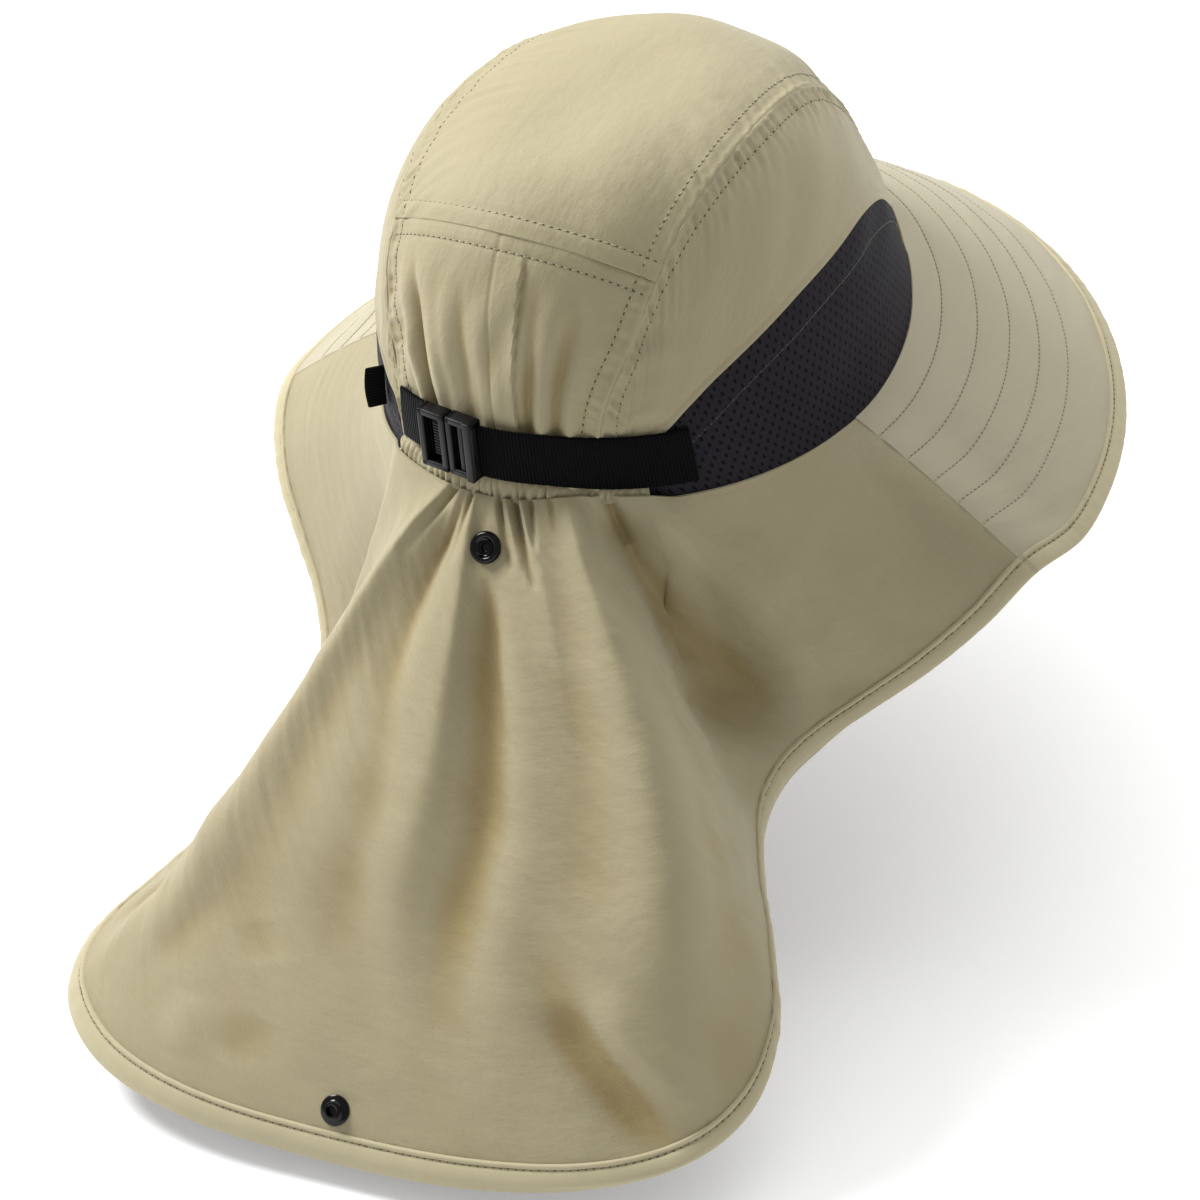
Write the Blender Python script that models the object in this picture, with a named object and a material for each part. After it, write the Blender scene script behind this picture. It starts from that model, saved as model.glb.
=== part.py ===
"""Flap sun hat.

A soft crown of sewn panels with dark mesh bands at its sides, a stiff front brim, a
long neck flap that hangs behind, a rim band round both, an elastic casing with a strap
and buckle over it, and a snap that holds the flap when it is rolled up.

Metres. The origin is the middle of the head opening, where a head holds the hat.
+Z is up, the brim points to -Y, the flap hangs to +Y, and the wearer's left is +X.
Angles go round the crown from the front: the wearer's left is +90 degrees.
"""

import math

import bmesh
import bpy
import numpy as np
from mathutils import Matrix, Vector

# Head opening and crown
CROWN_HALF_WIDTH = 0.0876
CROWN_FRONT = 0.1048
CROWN_BACK = 0.1108
CROWN_HEIGHT = 0.1078
CROWN_LEAN = 0.0184
CROWN_WIDTH_CURVE = 0.52
CROWN_HEIGHT_CURVE = 0.98
CROWN_PINCH = 0.03
BASE_FRONT_RISE = 0.0145
BASE_SIDE_DIP = 0.0152
WALL = 0.0015
GAP = 0.0003
SECTION_WIDTH = 0.018

# Panels of the crown
STRIP_HALF_WIDTH = 0.0536
BACK_SEAM_PLACE = 0.49
BACK_FOOT_RISE = 0.0079
PLEAT_DEPTH = 0.0050
GATHER_DEPTH = 0.0018
FOOT_CALM = 0.7
PLEATS_FULL = 0.55
CALM_SPAN = (0.60, 0.85)
GATHER_SPAN = (0.45, 0.90)
GATHER_HALF_WAVES = 11
SEAM_RIDGE = 0.0007
RIDGE_SHARE = 0.05
RIDGE_SIDE_SHARE = 0.08
RIDGE_FADE = (0.78, 0.90)
MESH_RISE = 0.0592

# Brim
BRIM_FRONT_REACH = 0.0738
BRIM_SIDE_REACH = 0.0733
BRIM_LEFT_SHARE = 0.915
BRIM_FRONT_DROP = 0.0316
BRIM_SIDE_DROP = 0.0496
BRIM_END_ANGLE = 97.0
BRIM_THICKNESS = 0.0018
BRIM_CROWN = 0.0030
FOOT_CLEAR = 0.0009

# Neck flap and the band round the whole rim
FLAP_HALF_WIDTH = 0.1300
FLAP_REACH = 0.2500
FLAP_DROP = 0.1800
FLAP_THICKNESS = 0.0012
FLAP_FOLD = 0.0060
FLAP_SWELL = 0.0100
RIM_WIDTH = 0.0080
RIM_THICKNESS = 0.0024
RIM_CLEAR = 0.0005

# Elastic casing, strap and buckle
CASING_HEIGHT = 0.0100
CASING_RISE = 0.0024
CASING_THICKNESS = 0.0046
CASING_GATHER = 0.0006
CASING_GATHERS = 17
CASING_LAP = 0.28
CASING_LAP_OUT = 0.42
CASING_HUMP = 0.0034
CASING_HUMP_ANGLE = -158.0
CASING_HUMP_WIDTH = 11.0
CASING_END_CLEAR = 0.3
CASING_TAPER = 6.0
STRAP_HEIGHT = 0.0200
STRAP_THICKNESS = 0.0013
STRAP_RISE = 0.0080
STRAP_LIFT = 0.0006
STRAP_SIT = 0.0018
STRAP_CLIMB = 0.0036
STRAP_RIGHT_ANGLE = -134.5
STRAP_LEFT_ANGLE = 156.0
BUCKLE_CENTRE = 0.0090
BUCKLE_LENGTH = 0.0226
BUCKLE_HEIGHT = 0.0225
BUCKLE_THICKNESS = 0.0062
BUCKLE_WALL = 0.0024
BUCKLE_BEVEL = 0.0008

# Snap and label
SNAP_DIAMETER = 0.0112
SNAP_CLEAR = 0.0005
SOCKET_HEIGHT = 0.0024
SOCKET_BORE = 0.0044
STUD_FLANGE = 0.0106
STUD_POST = 0.0057
STUD_HEIGHT = 0.0034
STUD_BORE = 0.0032
SOCKET_SECTION = 13.25
SOCKET_DROP = 0.0152
STUD_SECTION = 14.0
STUD_MARGIN = 0.0015
SNAP_CALM = 0.8
TAB_HEIGHT = 0.0150
TAB_RISE = 0.0150
TAB_REACH = 0.0065
TAB_THICKNESS = 0.0016
TAB_ANGLE = 143.5

# How finely the surfaces are divided
SEAM_STEPS = 30
STRIP_STEPS = 10
SIDE_STEPS = 6
MESH_STEPS = 24
MESH_ROWS = 4
BACK_COLUMNS = 24
BRIM_STEPS = 40
BRIM_ROWS = 4
FLAP_STEPS = 52
FLAP_ROWS_STEPS = 14
CASING_STEPS = 51
STRAP_STEPS = 22

# Seams of the centre strip: place from the front foot (-1) over the top to the back
# foot (1), then the right and left seam as shares of STRIP_HALF_WIDTH
STRIP_COLUMNS = ("place", "right", "left")
STRIP_ROWS = (
    (-1.00, 0.72, 0.72),
    (-0.45, 0.89, 0.87),
    (0.00, 1.00, 0.92),
    (0.30, 0.99, 0.88),
    (0.47, 0.95, 0.84),
    (0.63, 0.88, 0.83),
    (0.78, 0.75, 0.70),
    (1.00, 0.68, 0.56),
)

# Upper edge of a mesh band: angle from the front and height as a share of MESH_RISE
MESH_EDGE = (
    (51.0, 0.52),
    (60.0, 0.80),
    (72.0, 0.96),
    (85.0, 1.00),
    (100.0, 0.97),
    (113.0, 0.87),
    (125.0, 0.73),
    (133.0, 0.59),
    (139.0, 0.46),
    (144.0, 0.38),
)
MESH_FRONT_ANGLE = 47.0
MESH_BACK_ANGLE = 145.0
MESH_LEFT_TURN = 8.0

# Rim of the neck flap, a row for each section from the end of the brim to the middle of
# the back: the angle where the section leaves the crown, then its rim on the right and
# on the left as shares of FLAP_HALF_WIDTH, FLAP_REACH and FLAP_DROP, then how far the
# section swells outward between crown and rim as shares of FLAP_SWELL
FLAP_COLUMNS = (
    "angle", "right_out", "right_back", "right_drop",
    "left_out", "left_back", "left_drop", "right_swell", "left_swell",
)
FLAP_ROWS = (
    (97.0, 1.198, 0.077, 0.268, 1.158, 0.072, 0.271, 0.20, 0.20),
    (105.0, 1.098, 0.123, 0.362, 1.110, 0.142, 0.322, 0.30, 0.30),
    (113.0, 0.982, 0.175, 0.445, 1.025, 0.202, 0.386, 0.35, 0.30),
    (121.0, 0.860, 0.231, 0.511, 0.915, 0.253, 0.461, 0.30, 0.20),
    (130.0, 0.758, 0.290, 0.563, 0.808, 0.302, 0.541, 0.10, 0.00),
    (139.0, 0.707, 0.353, 0.605, 0.737, 0.360, 0.622, 0.00, -0.30),
    (147.0, 0.720, 0.423, 0.646, 0.722, 0.430, 0.702, 0.10, -0.30),
    (153.0, 0.795, 0.498, 0.693, 0.761, 0.516, 0.773, 0.20, -0.60),
    (158.0, 0.905, 0.581, 0.753, 0.836, 0.614, 0.830, 0.30, -0.90),
    (162.0, 1.000, 0.671, 0.822, 0.915, 0.722, 0.872, 0.30, -1.05),
    (166.0, 1.012, 0.766, 0.889, 0.958, 0.832, 0.896, 0.20, -0.85),
    (170.0, 0.915, 0.853, 0.940, 0.888, 0.928, 0.920, 0.10, -0.50),
    (173.5, 0.705, 0.922, 0.974, 0.700, 0.994, 0.958, 0.10, -0.10),
    (177.0, 0.392, 0.972, 0.993, 0.398, 1.018, 0.984, 0.05, 0.05),
    (180.0, 0.000, 1.000, 1.000, 0.000, 1.000, 1.000, 0.00, 0.00),
)

# Folds of the flap: the section it starts from at the crown and the one it ends on at
# the rim (0 is the right end of the brim, 14 the middle, 28 the left end), depth as a
# share of FLAP_FOLD with ridges positive, half width in sections, and the shares of the
# way down where it starts and dies out
FOLD_COLUMNS = ("top", "foot", "depth", "width", "start", "end")
FOLD_ROWS = (
    (6.1, 5.2, -1.20, 1.00, 0.00, 1.00),
    (8.6, 11.4, 0.90, 1.00, 0.00, 1.20),
    (10.6, 12.2, -0.40, 0.60, 0.05, 0.75),
    (12.4, 12.9, 0.35, 0.55, 0.05, 0.90),
    (13.4, 12.4, -0.45, 0.50, 0.04, 0.60),
    (14.9, 14.2, 0.45, 0.55, 0.04, 0.95),
    (16.6, 15.3, -1.00, 0.80, 0.00, 1.00),
    (15.0, 11.0, -0.60, 0.40, 0.60, 1.05),
    (18.3, 17.0, 0.25, 0.80, 0.00, 0.80),
    (19.6, 18.2, -1.50, 1.40, 0.20, 1.02),
    (21.9, 22.8, -1.30, 0.85, 0.00, 1.00),
)

# Pleats of the back panel: place across from the right seam (0) to the left (1) at its
# top and at its foot, depth as a share of PLEAT_DEPTH with ridges positive, and half
# width as a share of the panel
PLEAT_COLUMNS = ("top", "foot", "depth", "width")
PLEAT_ROWS = (
    (0.18, 0.20, -0.50, 0.050),
    (0.37, 0.30, -1.00, 0.048),
    (0.46, 0.40, 0.40, 0.050),
    (0.60, 0.58, -0.35, 0.050),
    (0.82, 0.74, -0.80, 0.055),
)


# Small helpers


def clear_scene():
    for item in list(bpy.data.objects):
        bpy.data.objects.remove(item, do_unlink=True)


def make_material(name, colour, roughness, metallic=0.0):
    material = bpy.data.materials.new(name)
    material.use_nodes = True
    shader = material.node_tree.nodes["Principled BSDF"]
    shader.inputs["Base Color"].default_value = (*colour, 1.0)
    shader.inputs["Roughness"].default_value = roughness
    shader.inputs["Metallic"].default_value = metallic
    material.diffuse_color = (*colour, 1.0)
    return material


def spline(rows, column, places):
    """Smooth curve through one column of a table, read at the given places."""
    table = np.asarray(rows, dtype=float)
    knots = table[:, 0]
    values = table[:, column]
    slopes = np.gradient(values, knots)
    places = np.clip(np.asarray(places, dtype=float), knots[0], knots[-1])
    index = np.clip(np.searchsorted(knots, places, side="right") - 1, 0, len(knots) - 2)
    span = knots[index + 1] - knots[index]
    share = (places - knots[index]) / span
    square = share * share
    cube = square * share
    return (
        values[index] * (2 * cube - 3 * square + 1)
        + values[index + 1] * (3 * square - 2 * cube)
        + slopes[index] * span * (cube - 2 * square + share)
        + slopes[index + 1] * span * (cube - square)
    )


def smooth_step(start, end, value):
    share = np.clip((value - start) / (end - start), 0.0, 1.0)
    return share * share * (3 - 2 * share)


def bell(distance, width):
    return np.exp(-((distance / width) ** 2))


def unit(vectors):
    return vectors / np.maximum(np.linalg.norm(vectors, axis=-1, keepdims=True), 1e-12)


def lifted(surface, first, second, lift):
    """Points of a surface moved along its own normal."""
    step = 1e-4
    along_first = surface(first + step, second) - surface(first - step, second)
    along_second = surface(first, second + step) - surface(first, second - step)
    normal = unit(np.cross(along_first, along_second))
    return surface(first, second) + normal * np.asarray(lift)[..., None]


def add_mesh(name, points, faces, material, smooth_angle=40.0):
    mesh = bpy.data.meshes.new(name)
    mesh.from_pydata([tuple(point) for point in points], [], faces)
    mesh.materials.append(material)
    body = bmesh.new()
    body.from_mesh(mesh)
    bmesh.ops.recalc_face_normals(body, faces=body.faces)
    if body.calc_volume(signed=True) < 0:
        bmesh.ops.reverse_faces(body, faces=body.faces)
    body.to_mesh(mesh)
    body.free()
    mesh.shade_smooth()
    mesh.set_sharp_from_angle(angle=math.radians(smooth_angle))
    item = bpy.data.objects.new(name, mesh)
    bpy.context.scene.collection.objects.link(item)
    return item


def add_shell(name, outer, inner, material):
    """Closed wall between two grids of points of the same shape."""
    rows, columns = outer.shape[:2]
    points = np.concatenate([outer.reshape(-1, 3), inner.reshape(-1, 3)])
    shift = rows * columns

    def at(row, column, side):
        return side * shift + row * columns + column

    faces = []
    for row in range(rows - 1):
        for column in range(columns - 1):
            corners = ((row, column), (row, column + 1), (row + 1, column + 1), (row + 1, column))
            faces.append([at(*corner, 0) for corner in corners])
            faces.append([at(*corner, 1) for corner in reversed(corners)])
    border = [(0, column) for column in range(columns)]
    border += [(row, columns - 1) for row in range(1, rows)]
    border += [(rows - 1, column) for column in range(columns - 2, -1, -1)]
    border += [(row, 0) for row in range(rows - 2, 0, -1)]
    for here, there in zip(border, border[1:] + border[:1]):
        faces.append([at(*here, 0), at(*here, 1), at(*there, 1), at(*there, 0)])
    return add_mesh(name, points, faces, material)


def add_tube(name, sections, material, closed=False):
    """Solid through a row of closed sections with the same number of points."""
    count, sides = sections.shape[:2]
    points = sections.reshape(-1, 3)
    faces = []
    for here in range(count if closed else count - 1):
        there = (here + 1) % count
        for side in range(sides):
            after = (side + 1) % sides
            faces.append([here * sides + side, here * sides + after,
                          there * sides + after, there * sides + side])
    if not closed:
        faces.append(list(range(sides)))
        faces.append([(count - 1) * sides + side for side in range(sides - 1, -1, -1)])
    return add_mesh(name, points, faces, material)


# Crown surface

HEIGHT_SHARES = np.linspace(0.0, 1.0, 2001)


def width_share(height_share):
    turn = height_share * math.pi / 2
    return (
        np.maximum(np.cos(turn), 0.0) ** CROWN_WIDTH_CURVE
        * (1 - CROWN_PINCH * np.sin(math.pi * height_share))
    )


WIDTH_SHARES = width_share(HEIGHT_SHARES)


def height_share_of(width):
    return np.interp(-np.asarray(width), -WIDTH_SHARES, HEIGHT_SHARES)


def base_height(angle):
    """Height of the crown's foot, which rises at the front and dips at the sides."""
    return BASE_FRONT_RISE * (1 + np.cos(angle)) / 2 - BASE_SIDE_DIP * np.sin(angle) ** 2


def crown_at(angle, height_share):
    """Point of the crown's outer face by angle in radians and share of the way up."""
    height_share = np.clip(height_share, 0.0, 1.0)
    width = width_share(height_share)
    rise = np.sin(height_share * math.pi / 2) ** CROWN_HEIGHT_CURVE
    length = np.where(np.cos(angle) > 0, CROWN_FRONT, CROWN_BACK)
    return np.stack([
        CROWN_HALF_WIDTH * width * np.sin(angle),
        -length * width * np.cos(angle) + CROWN_LEAN * rise,
        base_height(angle) * (1 - rise) + CROWN_HEIGHT * rise,
    ], axis=-1)


def crown_over(across, place):
    """Point of the crown's outer face by its share across and its place from front to back."""
    along = np.sqrt(np.maximum(1 - across ** 2, 0.0)) * np.sin(place * math.pi / 2)
    return crown_at(np.arctan2(across, -along), height_share_of(np.hypot(across, along)))


def share_for_rise(rise):
    """Share of the way up that lies this high above the foot of the back."""
    return np.arcsin((rise / CROWN_HEIGHT) ** (1 / CROWN_HEIGHT_CURVE)) * 2 / math.pi


def strip_edge(place, side, inset=0.0):
    """Share across the crown of the centre strip's seam; side is -1 right or 1 left."""
    column = STRIP_COLUMNS.index("right" if side < 0 else "left")
    half = spline(STRIP_ROWS, column, place) * STRIP_HALF_WIDTH - inset
    return side * half / CROWN_HALF_WIDTH


def seam_places():
    """Places of the divisions along a long seam; one of them is the back seam."""
    front = int(round(SEAM_STEPS * (1 + BACK_SEAM_PLACE) / 2))
    return np.concatenate([
        np.linspace(-1.0, BACK_SEAM_PLACE, front + 1),
        np.linspace(BACK_SEAM_PLACE, back_foot_place(), SEAM_STEPS - front + 1)[1:],
    ])


def back_foot_place():
    """Place where the back panel ends, above the elastic casing."""
    width = width_share(share_for_rise(BACK_FOOT_RISE))
    across = strip_edge(1.0, -1)
    along = math.sqrt(width ** 2 - across ** 2)
    return math.asin(along / math.sqrt(1 - across ** 2)) * 2 / math.pi


def mesh_edge_curve(side, count):
    """Angles and height shares along a mesh band's upper edge, from front to back."""
    knots = np.linspace(0.0, 1.0, len(MESH_EDGE))
    table = [(knot, *row) for knot, row in zip(knots, MESH_EDGE)]
    places = np.linspace(0.0, 1.0, count)
    angle = spline(table, 1, places)
    if side > 0:
        angle = angle + MESH_LEFT_TURN * smooth_step(MESH_EDGE[3][0], MESH_EDGE[-1][0], angle)
    height = spline(table, 2, places) * MESH_RISE / CROWN_HEIGHT * 2 / math.pi
    return side * np.radians(angle), height


# Crown panels


def crown_panel(name, across, place, depth, material):
    outer = lifted(crown_over, across, place, depth)
    inner = lifted(crown_over, across, place, depth - WALL)
    return add_shell(name, outer, inner, material)


def seam_ridge(place):
    """Height of the ridge along a long seam, which is flat at the crown's foot."""
    return SEAM_RIDGE * (1 - smooth_step(*RIDGE_FADE, np.abs(place)))


def make_crown_top(material):
    places = seam_places()
    places = places[places <= BACK_SEAM_PLACE + 1e-9]
    places[-1] -= GAP / 2 / (CROWN_BACK * math.pi / 2)
    place, share = np.meshgrid(places, np.linspace(0.0, 1.0, STRIP_STEPS + 1), indexing="ij")
    right = strip_edge(place, -1, GAP / 2)
    left = strip_edge(place, 1, GAP / 2)
    across = right + (left - right) * share
    ridge = seam_ridge(place) * (bell(share, RIDGE_SHARE) + bell(share - 1, RIDGE_SHARE))
    return crown_panel("crown_top", across, place, ridge, material)


def back_panel_depth(place, share):
    """Depth of the pleats and gathers of the back panel, which deepen towards its foot."""
    down = (place - BACK_SEAM_PLACE) / (1 - BACK_SEAM_PLACE)
    grow = smooth_step(0.0, PLEATS_FULL, down) * (1 - FOOT_CALM * smooth_step(*CALM_SPAN, down))
    depth = np.zeros_like(place)
    for row in PLEAT_ROWS:
        pleat = dict(zip(PLEAT_COLUMNS, row))
        centre = pleat["top"] + (pleat["foot"] - pleat["top"]) * down
        depth += PLEAT_DEPTH * pleat["depth"] * bell(share - centre, pleat["width"]) * grow
    waves = np.cos(share * GATHER_HALF_WAVES * math.pi) * smooth_step(*GATHER_SPAN, down)
    inside = np.sin(math.pi * np.clip(share, 0, 1)) ** 0.5
    return (depth + GATHER_DEPTH * 0.5 * (waves - 1)) * inside


def make_crown_back(material):
    places = seam_places()
    places = places[places >= BACK_SEAM_PLACE - 1e-9]
    places[0] += GAP / 2 / (CROWN_BACK * math.pi / 2)
    share = np.linspace(0.0, 1.0, BACK_COLUMNS + 1)
    place, share = np.meshgrid(places, share, indexing="ij")
    right = strip_edge(place, -1, GAP / 2)
    left = strip_edge(place, 1, GAP / 2)
    across = right + (left - right) * share
    return crown_panel("crown_back", across, place, back_panel_depth(place, share), material)


def mesh_back_angle(side):
    turn = MESH_LEFT_TURN if side > 0 else 0.0
    return side * math.radians(MESH_BACK_ANGLE + turn)


def side_lower_edge(side):
    """Angles and height shares where a side panel meets the mesh band."""
    angles, heights = mesh_edge_curve(side, MESH_STEPS + 1)
    front = np.linspace(0.0, 1.0, MESH_ROWS + 1)[:-1]
    front_angle = side * math.radians(MESH_FRONT_ANGLE)
    back_steps = SEAM_STEPS - MESH_STEPS - MESH_ROWS
    back = np.linspace(0.0, 1.0, back_steps + 1)[1:]
    back_angle = mesh_back_angle(side)
    back_height = share_for_rise(BACK_FOOT_RISE)
    angle = np.concatenate([
        front_angle + (angles[0] - front_angle) * front,
        angles,
        angles[-1] + (back_angle - angles[-1]) * back,
    ])
    height = np.concatenate([
        heights[0] * front,
        heights,
        heights[-1] + (back_height - heights[-1]) * back,
    ])
    return angle, height


def make_crown_side(name, side, material):
    places = seam_places()
    across = strip_edge(places, side, -GAP / 2)
    along = np.sqrt(1 - across ** 2) * np.sin(places * math.pi / 2)
    seam_angle = np.arctan2(across, -along)
    seam_height = height_share_of(np.hypot(across, along))
    low_angle, low_height = side_lower_edge(side)
    clear = GAP / (CROWN_HEIGHT * math.pi / 2)
    low_height = low_height + clear * (np.arange(SEAM_STEPS + 1) > MESH_ROWS)
    turn = GAP / CROWN_BACK
    low_angle = low_angle - side * turn * (np.arange(SEAM_STEPS + 1) <= MESH_ROWS)
    low_angle = low_angle + side * turn * (np.arange(SEAM_STEPS + 1) > MESH_ROWS + MESH_STEPS)
    share = np.linspace(0.0, 1.0, SIDE_STEPS + 1)
    angle = seam_angle[:, None] + (low_angle - seam_angle)[:, None] * share
    height = seam_height[:, None] + (low_height - seam_height)[:, None] * share
    ridge = seam_ridge(places)[:, None] * bell(share, RIDGE_SIDE_SHARE)[None, :]
    outer = lifted(crown_at, angle, height, ridge)
    inner = lifted(crown_at, angle, height, ridge - WALL)
    return add_shell(name, outer, inner, material)


def make_mesh_band(name, side, material):
    top_angle, top_height = mesh_edge_curve(side, MESH_STEPS + 1)
    foot_angle = np.linspace(side * math.radians(MESH_FRONT_ANGLE), mesh_back_angle(side), MESH_STEPS + 1)
    share = np.linspace(0.0, 1.0, MESH_ROWS + 1)
    angle = foot_angle[:, None] + (top_angle - foot_angle)[:, None] * share
    height = top_height[:, None] * share
    depth = np.full_like(angle, -GAP)
    outer = crown_lift(angle, height, depth)
    inner = crown_lift(angle, height, depth - WALL)
    return add_shell(name, outer, inner, material)


def crown_lift(angle, height, lift):
    """Point off the crown's outer face, with lift counted outward."""
    angle, height, lift = np.broadcast_arrays(angle, height, lift)
    return lifted(crown_at, angle, height, lift)


# Skirt: brim and flap share one surface from the crown's foot to the rim


def brim_rim(angle):
    side = BRIM_SIDE_REACH * np.where(angle > 0, BRIM_LEFT_SHARE, 1.0)
    return np.stack([
        (CROWN_HALF_WIDTH + side) * np.sin(angle),
        -(CROWN_FRONT + BRIM_FRONT_REACH) * np.cos(angle),
        -(BRIM_FRONT_DROP * np.cos(angle) ** 2 + BRIM_SIDE_DROP * np.sin(angle) ** 2),
    ], axis=-1)


def flap_rim(row, side):
    word = "right" if side < 0 else "left"
    out, back, drop = (row[FLAP_COLUMNS.index(f"{word}_{name}")] for name in ("out", "back", "drop"))
    return (side * out * FLAP_HALF_WIDTH, back * FLAP_REACH, -drop * FLAP_DROP)


FLAP_SECTIONS = len(FLAP_ROWS) - 1
BRIM_SECTIONS = 20


def rim_table():
    """Rows for the whole rim: section, rim point, crown angle and swell.

    Sections 0 to 28 are the flap from right to left and 28 to 48 the brim from left to
    right, so section 48 is section 0 again.
    """
    rows = []
    for index, row in enumerate(FLAP_ROWS):
        rows.append((index, *flap_rim(row, -1), -row[0], row[-2]))
    for index, row in enumerate(reversed(FLAP_ROWS[:-1])):
        rows.append((FLAP_SECTIONS + 1 + index, *flap_rim(row, 1), row[0] - 360.0, row[-1]))
    for index in range(1, BRIM_SECTIONS):
        angle = BRIM_END_ANGLE * (1 - 2 * index / BRIM_SECTIONS)
        point = brim_rim(np.array(math.radians(angle)))
        rows.append((2 * FLAP_SECTIONS + index, *point, angle - 360.0, 0.0))
    last = rows[0]
    rows.append((2 * FLAP_SECTIONS + BRIM_SECTIONS, *last[1:4], last[4] - 360.0, last[5]))
    ahead = rows[1:4]
    behind = rows[-4:-1]
    total = 2 * FLAP_SECTIONS + BRIM_SECTIONS
    before = [(row[0] - total, *row[1:4], row[4] + 360.0, row[5]) for row in behind]
    after = [(row[0] + total, *row[1:4], row[4] - 360.0, row[5]) for row in ahead]
    return np.array(before + rows + after)


RIM = rim_table()


def casing_lower_edge(angle):
    """Height of the casing's lower edge, which is drawn up beside the right mesh band."""
    away = angle - math.radians(CASING_HUMP_ANGLE)
    away = np.degrees(np.arctan2(np.sin(away), np.cos(away)))
    hump = CASING_HUMP * bell(away, CASING_HUMP_WIDTH)
    return CASING_RISE - CASING_HEIGHT / 2 + hump


def skirt_foot(angle):
    """Where the skirt starts: beside the crown's foot, and under the casing at the back."""
    turn = np.degrees(np.arctan2(np.sin(angle), np.cos(angle)))
    end = MESH_BACK_ANGLE + np.where(turn > 0, MESH_LEFT_TURN, 0.0)
    back = smooth_step(end - CASING_TAPER, end + 1.0, np.abs(turn))
    out = FOOT_CLEAR + (CASING_THICKNESS * CASING_LAP_OUT + FLAP_THICKNESS / 2 + CASING_GATHER) * back
    length = np.where(np.cos(angle) > 0, CROWN_FRONT, CROWN_BACK) + out
    beside = base_height(angle) + BRIM_THICKNESS / 2
    under = casing_lower_edge(angle) + CASING_HEIGHT * CASING_LAP
    return np.stack([
        (CROWN_HALF_WIDTH + out) * np.sin(angle),
        -length * np.cos(angle),
        beside + (under - beside) * back,
    ], axis=-1)


def skirt_plain(section, down):
    """Skirt without its folds, by section and share of the way from crown to rim."""
    rim = np.stack([spline(RIM, column, section) for column in (1, 2, 3)], axis=-1)
    foot = skirt_foot(np.radians(spline(RIM, 4, section)))
    return foot + (rim - foot) * down[..., None]


def line_length(section):
    """Length of the straight line from the crown to the rim at a section."""
    section = np.asarray(section, dtype=float)
    line = skirt_plain(section, np.ones_like(section)) - skirt_plain(section, np.zeros_like(section))
    return np.linalg.norm(line, axis=-1)


def sheet_end(section):
    """Share of the way down where the sheet stops and the rim band starts."""
    return 1 - (RIM_WIDTH + RIM_CLEAR) / line_length(section)


SOCKET_PLACE = SOCKET_DROP / line_length(SOCKET_SECTION)
STUD_PLACE = sheet_end(STUD_SECTION) - (STUD_FLANGE / 2 + STUD_MARGIN) / line_length(STUD_SECTION)


def skirt_swell(section, down):
    """How far the skirt stands out from straight lines between crown and rim."""
    in_brim = smooth_step(2 * FLAP_SECTIONS, 2 * FLAP_SECTIONS + 2, section)
    in_brim = in_brim * (1 - smooth_step(2 * FLAP_SECTIONS + BRIM_SECTIONS - 2,
                                         2 * FLAP_SECTIONS + BRIM_SECTIONS, section))
    arch = np.sin(math.pi * np.clip(down, 0, 1))
    swell = spline(RIM, 5, section) * FLAP_SWELL * (1 - in_brim) + BRIM_CROWN * in_brim
    depth = swell * arch
    for row in FOLD_ROWS:
        fold = dict(zip(FOLD_COLUMNS, row))
        centre = fold["top"] + (fold["foot"] - fold["top"]) * down
        span = fold["end"] - fold["start"]
        grow = smooth_step(fold["start"], fold["start"] + 0.4 * span, down)
        fade = 1 - smooth_step(fold["start"] + 0.65 * span, fold["end"], down)
        shape = bell(section - centre, fold["width"]) * grow * fade
        depth = depth + FLAP_FOLD * fold["depth"] * shape
    calm = bell(section - SOCKET_SECTION, SNAP_CALM) * bell(down - SOCKET_PLACE, SNAP_CALM / 10)
    calm = calm + bell(section - STUD_SECTION, SNAP_CALM) * bell(down - STUD_PLACE, SNAP_CALM / 10)
    return depth * (1 - np.clip(calm, 0.0, 1.0))


def skirt(section, down, lift=0.0):
    """Point of the skirt's middle surface, lifted outward and upward."""
    section, down = np.broadcast_arrays(np.asarray(section, float), np.asarray(down, float))
    return lifted(skirt_plain, section, down, skirt_swell(section, down) + lift)


def flap_sections():
    return np.linspace(0, 2 * FLAP_SECTIONS, FLAP_STEPS + 1)


def brim_sections():
    return np.linspace(2 * FLAP_SECTIONS, 2 * FLAP_SECTIONS + BRIM_SECTIONS, BRIM_STEPS + 1)


def make_skirt_sheet(name, sections, rows, thickness, material):
    inset = GAP / 2 / SECTION_WIDTH
    sections[0] += inset
    sections[-1] -= inset
    section = sections[:, None] * np.ones(rows + 1)
    down = np.linspace(0.0, 1.0, rows + 1)[None, :] * sheet_end(section)
    outer = skirt(section, down, thickness / 2)
    inner = skirt(section, down, -thickness / 2)
    return add_shell(name, outer, inner, material)


def make_neck_flap(material):
    return make_skirt_sheet("neck_flap", flap_sections(), FLAP_ROWS_STEPS, FLAP_THICKNESS, material)


def make_brim(material):
    return make_skirt_sheet("brim", brim_sections(), BRIM_ROWS, BRIM_THICKNESS, material)


def make_edge_binding(material):
    """Band round the whole rim, six points to each section."""
    section = np.concatenate([flap_sections()[:-1], brim_sections()[:-1]])
    half = RIM_THICKNESS / 2
    start = sheet_end(section)
    clear = 1 - (1 - start) * RIM_WIDTH / (RIM_WIDTH + RIM_CLEAR)
    shares = (0.0, 0.75, 1.0)
    upper = [skirt(section, clear + (1 - clear) * share, half * face)
             for share, face in zip(shares, (1.0, 1.0, 0.35))]
    lower = [skirt(section, clear + (1 - clear) * share, -half * face)
             for share, face in zip(shares, (1.0, 1.0, 0.35))]
    sections = np.stack(upper + lower[::-1], axis=1)
    return add_tube("edge_binding", sections, material, closed=True)


# Casing, strap and buckle


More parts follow.
